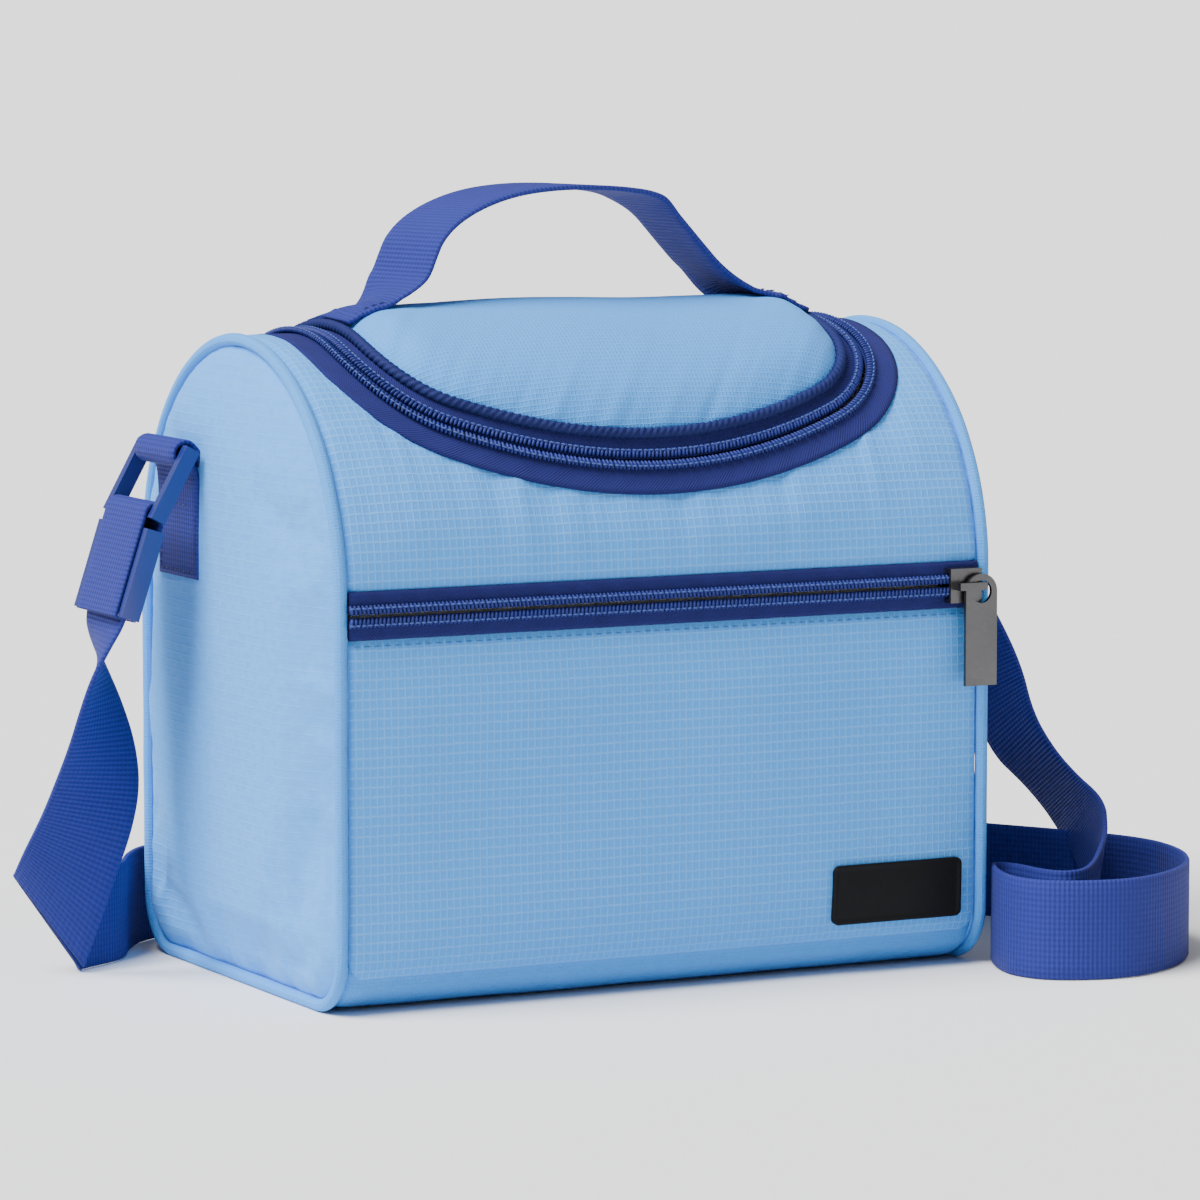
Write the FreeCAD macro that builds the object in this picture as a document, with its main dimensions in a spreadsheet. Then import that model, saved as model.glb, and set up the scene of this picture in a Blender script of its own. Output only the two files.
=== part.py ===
import FreeCAD, Part
import math
import os

# Insulated cooler bag, in millimetres.  X runs to the right, Y to the back, Z up.
# The origin is the middle of the flat underside.

V = FreeCAD.Vector
X_AXIS = V(1, 0, 0)
Y_AXIS = V(0, 1, 0)
Z_AXIS = V(0, 0, 1)
SIDES = (("left", -1), ("right", 1))

# ---------------------------------------------------------------- driving dimensions
DIMENSIONS = {
    # shell: a tunnel shape, straight walls under a half-round top
    "BagWidth": 230.0,
    "BagDepth": 156.0,
    "ArchCentre": 128.0,
    "CornerRadius": 20.0,
    "PipingRadius": 2.0,
    "Fabric": 1.4,
    "FabricInset": 0.8,
    "Foam": 4.0,
    "Liner": 0.8,
    "SideBulge": 7.5,
    "SeamHeight": 10.0,
    # front pocket and its zip
    "PocketTop": 117.0,
    "PocketZipTop": 130.6,
    "PocketGap": 4.6,
    "TapeThick": 1.0,
    "CoilWidth": 2.8,
    "CoilHigh": 2.5,
    "CoilGap": 1.2,
    # lid opening, measured to the middle of its zip
    "LidHalfWidth": 91.5,
    "LidFrontAngle": 60.0,
    "LidHingeAngle": 33.0,
    "ZipTailAngle": 52.0,
    "LidFrontRadius": 165.0,
    "LidCornerRadius": 40.0,
    "ZipBand": 9.8,
    "EdgeCordWide": 3.3,
    # lid dome: a slightly crowned roll about its own lower centre
    "DomeCentreY": -7.0,
    "DomeCentreZ": 150.0,
    "DomeRadius": 65.0,
    "DomeCrown": 2.0,
    # webbing and its moulded hardware
    "WebbingWide": 32.0,
    "WebbingThick": 1.6,
    "TabCentreY": 24.0,
    "TabBottom": 128.0,
    "LoopHeight": 168.0,
    "LoopOut": 128.0,
    "HangAngle": 29.0,
    "ThreadAngle": 18.0,
    "RingLong": 21.4,
    "RailWide": 3.5,
    "BarRadius": 2.0,
    "AdjusterLong": 29.0,
    "AdjusterDrop": 5.0,
    # zip sliders and pull tabs
    "SliderLong": 11.5,
    "SliderWide": 11.0,
    "PlateThick": 1.2,
    "PullLong": 36.0,
    "PullWide": 11.5,
    "PullThick": 1.4,
    "EyeRadius": 3.7,
    # sewn label
    "LabelLong": 47.3,
    "LabelHigh": 19.0,
    "LabelThick": 1.2,
}

doc = FreeCAD.newDocument("cooler_bag")
sheet = doc.addObject("Spreadsheet::Sheet", "Dimensions")
for row, (alias, value) in enumerate(DIMENSIONS.items(), start=1):
    sheet.set("A%d" % row, alias)
    sheet.set("B%d" % row, str(value))
    sheet.setAlias("B%d" % row, alias)
doc.recompute()


def dim(alias):
    return float(sheet.get(alias))


# Values worked out once from the driving dimensions.
HALF_WIDTH = dim("BagWidth") / 2
ARCH_RADIUS = dim("BagDepth") / 2
ARCH_CENTRE = dim("ArchCentre")
WEB_WIDE = dim("WebbingWide")
WEB_THICK = dim("WebbingThick")
TAB_Y = dim("TabCentreY")
FABRIC_OUT = ARCH_RADIUS - dim("FabricInset")
FABRIC_IN = FABRIC_OUT - dim("Fabric")
FOAM_OUT = FABRIC_IN - 0.4
FOAM_IN = FOAM_OUT - dim("Foam")
LINER_OUT = FOAM_IN - 0.2
LINER_IN = LINER_OUT - dim("Liner")
GUSSET_HALF = HALF_WIDTH - 2 * dim("PipingRadius") - 0.1
SIDE_PLANE = HALF_WIDTH - dim("PipingRadius")
INNER_HALF = SIDE_PLANE - dim("Fabric") - dim("Foam") - dim("Liner") - 0.3
TAPE_FACE = FABRIC_OUT
ZIP_MIDDLE = (dim("PocketTop") + dim("PocketZipTop")) / 2

NODES = {}


def keep(label, thing):
    """Give a finished sub-part its label and put it on the list of pieces to write."""
    thing.Label = label
    NODES[label] = thing
    return thing


def bind(thing, prop, value):
    """Set a property to a number, or bind it when the value is an expression."""
    if isinstance(value, str):
        thing.setExpression(prop, value)
    else:
        holder = thing
        *path, last = prop.split(".")
        if path:
            placement = thing.Placement
            setattr(placement.Base, last, value)
            thing.Placement = placement
        else:
            setattr(holder, last, value)


def new_body(name):
    return doc.addObject("PartDesign::Body", name)


def block(body, name, at, size, cut=False):
    """Add a box to a body, or cut one out of it, from a corner and three lengths."""
    kind = "PartDesign::SubtractiveBox" if cut else "PartDesign::AdditiveBox"
    box = body.newObject(kind, name)
    for prop, value in zip(("Length", "Width", "Height"), size):
        bind(box, prop, value)
    for letter, value in zip("xyz", at):
        bind(box, "Placement.Base." + letter, value)
    return box


def round_bar(body, name, at, axis, radius, length, cut=False):
    """Add a cylinder to a body, or drill one out, centred on a point and an axis."""
    kind = "PartDesign::SubtractiveCylinder" if cut else "PartDesign::AdditiveCylinder"
    bar = body.newObject(kind, name)
    bind(bar, "Radius", radius)
    bar.Height = length
    turn = FreeCAD.Rotation(Z_AXIS, axis)
    bar.Placement = FreeCAD.Placement(at - axis * (length / 2), turn)
    return bar


def plain_box(label, low, high):
    """A flat panel as a Part box between two corners."""
    box = doc.addObject("Part::Box", label)
    box.Length, box.Width, box.Height = (high - low)
    box.Placement = FreeCAD.Placement(low, FreeCAD.Rotation())
    return keep(label, box)


def plane_of(body, role):
    return next(f for f in body.Origin.OriginFeatures if f.Role == role)


def new_sketch(body, name, role, offset=0.0):
    sketch = body.newObject("Sketcher::SketchObject", name)
    sketch.AttachmentSupport = [(plane_of(body, role), "")]
    sketch.MapMode = "FlatFace"
    sketch.AttachmentOffset = FreeCAD.Placement(V(0, 0, offset), FreeCAD.Rotation())
    return sketch


def pad(body, sketch, name, length):
    feature = body.newObject("PartDesign::Pad", name)
    feature.Profile = sketch
    bind(feature, "Length", length)
    sketch.Visibility = False
    return feature


# ---------------------------------------------------------------- tunnel profile
def arch_outline(sketch, inset, mark):
    """Closed tunnel outline set in from the bag's own by an expression."""
    base = sketch.GeometryCount
    gap = float(sheet.get(inset)) if inset in DIMENSIONS else float(inset)
    radius = ARCH_RADIUS - gap
    corner = dim("CornerRadius") - gap
    low = gap + corner
    side = radius - corner
    sketch.addGeometry(Part.LineSegment(V(-radius, ARCH_CENTRE, 0), V(-radius, low, 0)))
    sketch.addGeometry(Part.ArcOfCircle(Part.Circle(V(-side, low, 0), Z_AXIS, corner),
                                        math.pi, 1.5 * math.pi))
    sketch.addGeometry(Part.LineSegment(V(-side, gap, 0), V(side, gap, 0)))
    sketch.addGeometry(Part.ArcOfCircle(Part.Circle(V(side, low, 0), Z_AXIS, corner),
                                        1.5 * math.pi, 2 * math.pi))
    sketch.addGeometry(Part.LineSegment(V(radius, low, 0), V(radius, ARCH_CENTRE, 0)))
    sketch.addGeometry(Part.ArcOfCircle(Part.Circle(V(0, ARCH_CENTRE, 0), Z_AXIS, radius),
                                        0, math.pi))
    import Sketcher
    link = Sketcher.Constraint
    for here, end, there, start in ((0, 2, 1, 1), (1, 2, 2, 1), (2, 2, 3, 1),
                                    (3, 2, 4, 1), (4, 2, 5, 1), (5, 2, 0, 1)):
        sketch.addConstraint(link("Tangent", base + here, end, base + there, start))
    sketch.addConstraint(link("Vertical", base))
    sketch.addConstraint(link("Horizontal", base + 2))
    sketch.addConstraint(link("PointOnObject", base + 5, 3, -2))
    named = (
        ("Centre", link("DistanceY", -1, 1, base + 5, 3, ARCH_CENTRE), "Dimensions.ArchCentre"),
        ("Top", link("Radius", base + 5, radius), "Dimensions.BagDepth / 2 - %s"),
        ("Corner", link("Radius", base + 1, corner), "Dimensions.CornerRadius - %s"),
        ("Floor", link("DistanceY", -1, 1, base + 2, 1, gap), "%s"),
    )
    inset_text = "Dimensions.%s" % inset if inset in DIMENSIONS else "%s" % inset
    for label, constraint, text in named:
        number = sketch.addConstraint(constraint)
        sketch.renameConstraint(number, label + mark)
        formula = text % inset_text if "%s" in text else text
        sketch.setExpression("Constraints." + label + mark, formula)


def tunnel_plate(label, inset, start, thickness, hole=None):
    """A tunnel-shaped plate, or a band when an inner outline is given."""
    body = new_body(label)
    sketch = new_sketch(body, label + "_outline", "YZ_Plane", start)
    arch_outline(sketch, inset, "Out")
    if hole is not None:
        arch_outline(sketch, hole, "In")
    pad(body, sketch, label + "_pad", thickness)
    return body


def tunnel_wire(x, inset):
    """The tunnel outline as a plain wire in the plane at x."""
    radius = ARCH_RADIUS - inset
    corner = max(dim("CornerRadius") - inset, 3.0)
    low = inset + corner
    side = radius - corner
    bend = corner * math.sqrt(0.5)

    def at(y, z):
        return V(x, y, z)

    edges = (
        Part.LineSegment(at(-radius, ARCH_CENTRE), at(-radius, low)),
        Part.Arc(at(-radius, low), at(-side - bend, low - bend), at(-side, inset)),
        Part.LineSegment(at(-side, inset), at(side, inset)),
        Part.Arc(at(side, inset), at(side + bend, low - bend), at(radius, low)),
        Part.LineSegment(at(radius, low), at(radius, ARCH_CENTRE)),
        Part.Arc(at(radius, ARCH_CENTRE), at(0, ARCH_CENTRE + radius), at(-radius, ARCH_CENTRE)),
    )
    return Part.Wire([edge.toShape() for edge in edges])


def make_sides():
    """Stuffed side panels, their piping, the foam behind and the liner inside."""
    for side, sign in SIDES:
        inner = SIDE_PLANE - dim("Fabric")
        stations = ((inner, 4.1), (SIDE_PLANE, 4.1), (SIDE_PLANE + 0.6 * dim("SideBulge"), 14.0),
                    (SIDE_PLANE + dim("SideBulge"), 34.0))
        panel = doc.addObject("Part::Feature", "side_panel_" + side)
        panel.Shape = Part.makeLoft([tunnel_wire(sign * x, inset) for x, inset in stations],
                                    True, True)
        keep("side_panel_" + side, panel)

        piping = doc.addObject("Part::Feature", "piping_" + side)
        spine = tunnel_wire(sign * SIDE_PLANE, dim("PipingRadius"))
        ring = Part.makeCircle(dim("PipingRadius"), V(sign * SIDE_PLANE, 0, dim("PipingRadius")),
                               Y_AXIS)
        piping.Shape = spine.makePipeShell([Part.Wire([ring])], True, True)
        keep("piping_" + side, piping)

        foam_start = inner - 0.2 - dim("Foam")
        liner_start = foam_start - 0.1 - dim("Liner")
        for name, start, thick, inset in (("side_foam_", foam_start, "Foam", 7.8),
                                          ("liner_side_", liner_start, "Liner", 8.6)):
            low = start if sign > 0 else -start - dim(thick)
            plate = tunnel_plate(name + side, inset, low, "Dimensions." + thick)
            keep(name + side, plate)


# ---------------------------------------------------------------- shell cut from bands
def boolean(kind, label, base, tool):
    thing = doc.addObject("Part::" + kind, label)
    thing.Base = base
    thing.Tool = tool
    return thing


def slab(name, low, high):
    """A helper box that picks a region out of a band."""
    box = doc.addObject("Part::Box", name)
    box.Length, box.Width, box.Height = (high - low)
    box.Placement = FreeCAD.Placement(low, FreeCAD.Rotation())
    return box


FAR = 300.0


def half_space(name, angle, front):
    """All that lies in front of, or behind, the radial plane at the lid hinge."""
    box = doc.addObject("Part::Box", name)
    box.Length, box.Width, box.Height = 2 * FAR, FAR, 2 * FAR
    shift = V(-FAR, -FAR if front else 0, -FAR)
    turn = FreeCAD.Rotation(X_AXIS, -angle)
    centre = V(0, 0, ARCH_CENTRE)
    box.Placement = FreeCAD.Placement(centre + turn.multVec(shift), turn)
    return box


def lid_outline(sketch, grow):
    """The lid's outline: two straight legs, two corners and a bowed front."""
    half = dim("LidHalfWidth") + grow
    front = dim("LidFrontRadius") + grow
    corner = dim("LidCornerRadius") + grow
    centre_y = dim("LidFrontRadius")
    offset = front - corner
    corner_x = half - corner
    corner_y = centre_y - math.sqrt(offset ** 2 - corner_x ** 2)
    lean = math.asin(corner_x / offset)
    back = 130.0
    down = 1.5 * math.pi
    add = sketch.addGeometry
    add(Part.LineSegment(V(-half, back, 0), V(-half, corner_y, 0)))
    add(Part.ArcOfCircle(Part.Circle(V(-corner_x, corner_y, 0), Z_AXIS, corner),
                         math.pi, down - lean))
    add(Part.ArcOfCircle(Part.Circle(V(0, centre_y, 0), Z_AXIS, front), down - lean, down + lean))
    add(Part.ArcOfCircle(Part.Circle(V(corner_x, corner_y, 0), Z_AXIS, corner),
                         down + lean, 2 * math.pi))
    add(Part.LineSegment(V(half, corner_y, 0), V(half, back, 0)))
    add(Part.LineSegment(V(half, back, 0), V(-half, back, 0)))


CUTTER_BACK = 70.0


def lid_cutter(name, grow):
    """A prism through the lid's outline, pointing straight out at its front middle."""
    body = new_body(name)
    sketch = new_sketch(body, name + "_outline", "XY_Plane", -CUTTER_BACK)
    lid_outline(sketch, grow)
    pad(body, sketch, name + "_pad", CUTTER_BACK + 140.0)
    turn = FreeCAD.Rotation(X_AXIS, dim("LidFrontAngle"))
    body.Placement = FreeCAD.Placement(V(0, 0, ARCH_CENTRE), turn)
    return body


def arch_ring(name, inner, outer, half, start, end):
    """A ring sector about the arch axis; angles are from the top, to the front positive."""
    body = new_body(name)
    sketch = new_sketch(body, name + "_section", "XZ_Plane")
    corners = ((-half, inner), (half, inner), (half, outer), (-half, outer))
    for k in range(4):
        here = corners[k]
        there = corners[(k + 1) % 4]
        sketch.addGeometry(Part.LineSegment(V(here[0], here[1], 0), V(there[0], there[1], 0)))
    turned = body.newObject("PartDesign::Revolution", name + "_turn")
    turned.Profile = sketch
    turned.ReferenceAxis = (next(f for f in body.Origin.OriginFeatures if f.Role == "X_Axis"), [""])
    turned.Angle = end - start
    turn = FreeCAD.Rotation(X_AXIS, start)
    body.Placement = FreeCAD.Placement(V(0, 0, ARCH_CENTRE), turn)
    return body


def make_shell():
    """Outer fabric: pocket front, yoke with the lid opening, back and bottom."""
    hinge = dim("LidHingeAngle")
    band = tunnel_plate("gusset_band", "FabricInset", -GUSSET_HALF, 2 * GUSSET_HALF,
                        str(dim("FabricInset") + dim("Fabric")))
    in_front = half_space("front_of_hinge", hinge, True)
    behind = half_space("behind_hinge", hinge, False)
    above = slab("above_pocket", V(-FAR, -FAR, dim("PocketZipTop")), V(FAR, FAR, FAR))
    under_seam = slab("under_seam", V(-FAR, -FAR, -1), V(FAR, FAR, dim("SeamHeight")))
    pocket_zone = slab("pocket_zone", V(-FAR, -FAR, dim("SeamHeight")),
                       V(FAR, 0, dim("PocketTop")))
    back_zone = slab("back_zone", V(-FAR, 0, dim("SeamHeight")), V(FAR, FAR, FAR))

    top = boolean("Common", "band_above", band, above)
    top_front = boolean("Common", "band_front", top, in_front)
    mouth = lid_cutter("mouth_cutter", dim("ZipBand"))
    keep("front_yoke", boolean("Cut", "front_yoke", top_front, mouth))
    rear = boolean("Common", "band_rear", band, back_zone)
    rear_wall = boolean("Common", "rear_wall", rear, behind)
    tail_ring = arch_ring("tail_ring", FABRIC_IN - 1, FABRIC_OUT + 1, 105.0,
                          -dim("ZipTailAngle") - 0.2, -hinge + 1)
    tail_outer = boolean("Common", "tail_outer", tail_ring, lid_cutter("tail_wide", dim("ZipBand")))
    tails = boolean("Cut", "tails", tail_outer, lid_cutter("tail_narrow", -dim("ZipBand")))
    keep("back_panel", boolean("Cut", "back_panel", rear_wall, tails))
    keep("bottom_panel", boolean("Common", "bottom_panel", band, under_seam))
    keep("pocket_panel", boolean("Common", "pocket_panel", band, pocket_zone))


def make_core():
    """Foam, stiffener board and liner of the walls, and the pocket's inner wall."""
    half = INNER_HALF - 0.1
    pocket_back = -FABRIC_IN + dim("PocketGap")
    wall_top = dim("PocketZipTop") - 1.0
    plain_box("pocket_lining", V(-GUSSET_HALF, pocket_back, dim("SeamHeight") + 2),
              V(GUSSET_HALF, pocket_back + dim("Liner"), wall_top))
    foam_front = pocket_back + dim("Liner") + 0.1
    liner_front = foam_front + dim("Foam") + 0.1
    plain_box("front_foam", V(-half, foam_front, 11.0), V(half, foam_front + dim("Foam"), wall_top))
    plain_box("liner_front", V(-half, liner_front, 11.0),
              V(half, liner_front + dim("Liner"), wall_top))
    plain_box("back_foam", V(-half, FOAM_IN, 20.0), V(half, FOAM_OUT, ARCH_CENTRE))
    plain_box("liner_back", V(-half, LINER_IN, 11.0), V(half, LINER_OUT, ARCH_CENTRE))
    base_half = ARCH_RADIUS - dim("CornerRadius")
    plain_box("base_board", V(-half, -base_half, 2.5), V(half, base_half, 4.2))
    plain_box("base_foam", V(-half, -base_half - 6, 4.4), V(half, base_half + 6, 8.8))
    plain_box("liner_bottom", V(-half, liner_front, 9.0), V(half, LINER_OUT, 9.8))

    start = -90.0
    front = 88.0
    cutter = lid_cutter("core_cutter", dim("CoilGap") / 2 + 0.3)
    for label, inner, outer in (("top_foam", FOAM_IN, FOAM_OUT), ("liner_top", LINER_IN, LINER_OUT)):
        ring = arch_ring(label + "_ring", inner, outer, half, start, front)
        mouth = boolean("Common", label + "_mouth_front", cutter,
                        half_space(label + "_split", dim("LidHingeAngle"), True))
        keep(label, boolean("Cut", label, ring, mouth))


# ---------------------------------------------------------------- lid
def dome(name, radius):
    """The lid's crowned roll, solid down to its own axis."""
    body = new_body(name)
    sketch = new_sketch(body, name + "_section", "XZ_Plane")
    edge = dim("LidHalfWidth")
    low = radius - dim("DomeCrown")
    crown = Part.Arc(V(edge, low, 0), V(0, radius, 0), V(-edge, low, 0))
    sketch.addGeometry(Part.LineSegment(V(-edge, 0, 0), V(edge, 0, 0)))
    sketch.addGeometry(Part.LineSegment(V(edge, 0, 0), V(edge, low, 0)))
    sketch.addGeometry(crown)
    sketch.addGeometry(Part.LineSegment(V(-edge, low, 0), V(-edge, 0, 0)))
    turned = body.newObject("PartDesign::Revolution", name + "_turn")
    turned.Profile = sketch
    turned.ReferenceAxis = (next(f for f in body.Origin.OriginFeatures if f.Role == "X_Axis"), [""])
    turned.Angle = 360.0
    body.Placement = FreeCAD.Placement(V(0, dim("DomeCentreY"), dim("DomeCentreZ")),
                                       FreeCAD.Rotation())
    return body


def core_roll(name, radius):
    """A round bar on the arch axis, used to hollow the dome."""
    bar = doc.addObject("Part::Cylinder", name)
    bar.Radius = radius
    bar.Height = 2 * FAR
    bar.Placement = FreeCAD.Placement(V(-FAR, 0, ARCH_CENTRE), FreeCAD.Rotation(Y_AXIS, 90))
    return bar


LID_REAR = -30.0
ZIP_FRONT = 72.0


def zip_strip(label, low, high, rise, fall, rear, front=ZIP_FRONT):
    """A strip of the lid zip between two offsets of the outline and two heights."""
    ring = arch_ring(label + "_ring", TAPE_FACE + fall, TAPE_FACE + rise, 105.0, rear, front)
    outer = lid_cutter(label + "_outer", high)
    inner = lid_cutter(label + "_inner", low)
    filled = boolean("Common", label + "_filled", ring, outer)
    return keep(label, boolean("Cut", label, filled, inner))


def make_lid():
    """Dome fabric, foam, liner, and the two halves of the lid zip."""
    hinge_side = half_space("lid_front", dim("LidHingeAngle") - 0.5, True)
    dome_edge = -dim("ZipBand") - 0.1
    skin = boolean("Cut", "dome_skin", dome("dome_outer", dim("DomeRadius")),
                   dome("dome_inner", dim("DomeRadius") - dim("Fabric")))
    cover = boolean("Common", "dome_trimmed", skin, lid_cutter("dome_cutter", dome_edge))
    cover_front = boolean("Common", "dome_front", cover, hinge_side)
    keep("lid_panel", boolean("Cut", "lid_panel", cover_front, core_roll("panel_core", 73.3)))

    fill = boolean("Common", "fill_trimmed", dome("dome_fill", dim("DomeRadius") - dim("Fabric") - 0.1),
                   lid_cutter("fill_cutter", dome_edge))
    fill_front = boolean("Common", "fill_front", fill, hinge_side)
    keep("lid_foam", boolean("Cut", "lid_foam", fill_front, core_roll("foam_core", 73.2)))

    inside = -dim("CoilGap") / 2 - 0.4
    liner_ring = arch_ring("lid_liner_ring", 72.2, 73.0, 105.0, LID_REAR - 2, ZIP_FRONT)
    keep("lid_liner", boolean("Common", "lid_liner", liner_ring, lid_cutter("liner_cutter", inside)))

    gap = dim("CoilGap") / 2
    band = dim("ZipBand")
    coil = dim("CoilWidth")
    tape = dim("TapeThick")
    high = dim("CoilHigh")
    hinge = -dim("LidHingeAngle") - 0.5
    tail = -dim("ZipTailAngle")
    cord = dim("EdgeCordWide")
    zip_strip("lid_tape_outer", gap, band, 0.0, -tape, tail)
    zip_strip("lid_coil_outer", gap, gap + coil, high + 0.1, 0.1, tail)
    zip_strip("tail_tape_inner", -band, -gap, 0.0, -tape, tail, hinge)
    zip_strip("tail_coil_inner", -gap - coil, -gap, high + 0.1, 0.1, tail, hinge)
    zip_strip("lid_tape_inner", -band, -gap, 0.0, -tape, LID_REAR)
    zip_strip("lid_coil_inner", -gap - coil, -gap, high + 0.1, 0.1, LID_REAR)
    zip_strip("lid_edge_cord", -band, -band + cord, 4.0, 0.1, LID_REAR)


# ---------------------------------------------------------------- pocket zip and sliders
def make_pocket_zip():
    """Two tapes with their coils, straight across the top of the pocket."""
    gap = dim("CoilGap") / 2
    half = GUSSET_HALF
    face = -TAPE_FACE
    tape = dim("TapeThick")
    coil = dim("CoilWidth")
    low = dim("PocketTop") + 0.1
    high = dim("PocketZipTop") - 0.1
    outer = face - dim("CoilHigh") - 0.1
    plain_box("pocket_tape_lower", V(-half, face, low), V(half, face + tape, ZIP_MIDDLE - gap))
    plain_box("pocket_tape_upper", V(-half, face, ZIP_MIDDLE + gap), V(half, face + tape, high))
    plain_box("pocket_coil_lower", V(-half, outer, ZIP_MIDDLE - gap - coil),
              V(half, face - 0.1, ZIP_MIDDLE - gap))
    plain_box("pocket_coil_upper", V(-half, outer, ZIP_MIDDLE + gap),
              V(half, face - 0.1, ZIP_MIDDLE + gap + coil))


PLATE_LOW = 2.9
PULL_LOW = 4.9
BRIDGE_TOP = 8.0
BRIDGE_WIDE = 2.4
EYE_FORWARD = 4.4
POST = 0.6
EYE_SAG = 1.9


def slider(label, placement, keeper):
    """Zip slider: plate over the coils, two flanges, a post between them and a bridge.

    Local X is the way it travels, Z the way out of the bag, from the tape's face."""
    body = new_body(label)
    long = dim("SliderLong")
    wide = dim("SliderWide")
    plate_top = PLATE_LOW + dim("PlateThick")
    block(body, label + "_plate", (-long / 2, -wide / 2, PLATE_LOW),
          ("Dimensions.SliderLong", "Dimensions.SliderWide", "Dimensions.PlateThick"))
    for k, edge in enumerate((-wide / 2, wide / 2 - 1.4)):
        block(body, "%s_flange_%d" % (label, k), (-long / 2, edge, 0.3), (long, 1.4, PLATE_LOW))
    block(body, label + "_post", (0.0, -POST / 2, keeper), (long / 2 - 0.5, POST, PLATE_LOW + 1 - keeper))
    if keeper < -1.2:
        block(body, label + "_rear", (-long / 2, -4.2, keeper - 0.8), (long, 8.4, 0.9))
    leg = BRIDGE_TOP - plate_top
    block(body, label + "_bridge", (-4.4, -BRIDGE_WIDE / 2, BRIDGE_TOP - 1.2),
          (4.4 + EYE_FORWARD + BRIDGE_WIDE / 2, BRIDGE_WIDE, 1.2))
    for k, start in enumerate((-4.4, EYE_FORWARD - BRIDGE_WIDE / 2)):
        thick = 1.4 if k == 0 else BRIDGE_WIDE
        block(body, "%s_leg_%d" % (label, k), (start, -BRIDGE_WIDE / 2, plate_top - 0.5),
              (thick, BRIDGE_WIDE, leg + 0.4))
    body.Placement = placement
    return keep(label, body)


def pull_tab(label, placement):
    """Flat pull tab with a round eye at its origin, hanging along local -Y."""
    body = new_body(label)
    wide = dim("PullWide")
    drop = dim("PullLong") - wide / 2
    block(body, label + "_plate", (-wide / 2, -drop, 0.0),
          ("Dimensions.PullWide", drop, "Dimensions.PullThick"))
    round_bar(body, label + "_head", V(0, 0, dim("PullThick") / 2), Z_AXIS,
              "Dimensions.PullWide / 2", dim("PullThick"))
    round_bar(body, label + "_eye", V(0, 0, dim("PullThick") / 2), Z_AXIS,
              "Dimensions.EyeRadius", 4 * dim("PullThick"), cut=True)
    body.Placement = placement
    return keep(label, body)


SLIDER_X = 104.0
LID_SLIDER_ANGLE = -46.0


def make_sliders():
    """The pocket slider at the right end and the lid slider at the rear of its right leg."""
    # Facing front: local X to the right, local Y up, local Z out to the front.
    facing = FreeCAD.Rotation(X_AXIS, 90)
    at = V(SLIDER_X, -TAPE_FACE, ZIP_MIDDLE)
    slider("pocket_slider", FreeCAD.Placement(at, facing), -1.4)
    eye = at + V(EYE_FORWARD, -PULL_LOW, -EYE_SAG)
    pull_tab("pocket_pull", FreeCAD.Placement(eye, facing))

    # On the tail of the lid zip: local X to the rear, local Z outward.
    lying = FreeCAD.Rotation(X_AXIS, LID_SLIDER_ANGLE)
    along = lying.multiply(FreeCAD.Rotation(Z_AXIS, 90))
    centre = V(dim("LidHalfWidth"), 0, ARCH_CENTRE)
    out = lying.multVec(V(0, 0, TAPE_FACE))
    slider("lid_slider", FreeCAD.Placement(centre + out, along), -0.9)
    eye = centre + lying.multVec(V(0, EYE_FORWARD + EYE_SAG, TAPE_FACE + PULL_LOW))
    hanging = lying.multiply(FreeCAD.Rotation(Z_AXIS, 180))
    pull_tab("lid_pull", FreeCAD.Placement(eye, hanging))


def make_label():
    """Raised rounded label sewn low on the pocket, near its right end."""
    body = new_body("label")
    block(body, "label_plate", (57.0, -FABRIC_OUT - 0.05 - dim("LabelThick"), 17.0),
          ("Dimensions.LabelLong", "Dimensions.LabelThick", "Dimensions.LabelHigh"))
    doc.recompute()
    rounding = body.newObject("PartDesign::Fillet", "label_corners")
    plate = body.Tip if body.Tip.Name != "label_corners" else body.Group[0]
    names = ["Edge%d" % (k + 1) for k, edge in enumerate(plate.Shape.Edges)
             if abs(edge.tangentAt(edge.FirstParameter).y) > 0.9]
    rounding.Base = (plate, names)
    rounding.Radius = 1.8
    body.Tip = rounding
    keep("label", body)


# ---------------------------------------------------------------- webbing
def bends(points, share=0.45):
    """Straight runs joined by tangent arcs through a list of plan points."""
    pieces = []
    here = V(*points[0], 0)
    for k in range(1, len(points) - 1):
        corner = V(*points[k], 0)
        back = V(*points[k - 1], 0) - corner
        ahead = V(*points[k + 1], 0) - corner
        half_turn = (math.pi - back.getAngle(ahead)) / 2
        reach = share * min(back.Length, ahead.Length)
        back.normalize()
        ahead.normalize()
        start = corner + back * reach
        end = corner + ahead * reach
        inward = (back + ahead).normalize()
        centre = corner + inward * (reach / math.tan(half_turn) / math.cos(half_turn)
                                    if half_turn > 1e-6 else 0)
        radius = reach / math.tan(half_turn)
        turn = 1 if back.cross(ahead).z < 0 else -1
        pieces.append(("line", here, start))
        pieces.append(("arc", start, end, centre, radius, turn))
        here = end
    pieces.append(("line", here, V(*points[-1], 0)))
    return pieces


def beside(pieces, shift):
    """The same path moved sideways, to the left when the shift is positive."""
    edges = []
    for piece in pieces:
        if piece[0] == "line":
            _, start, end = piece
            along = (end - start).normalize()
            left = V(-along.y, along.x, 0) * shift
            edges.append(Part.LineSegment(start + left, end + left).toShape())
        else:
            _, start, end, centre, radius, turn = piece
            scale = (radius - turn * shift) / radius
            middle = centre + ((start + end) * 0.5 - centre).normalize() * radius
            moved = [centre + (p - centre) * scale for p in (start, middle, end)]
            edges.append(Part.Arc(*moved).toShape())
    return edges


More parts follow.
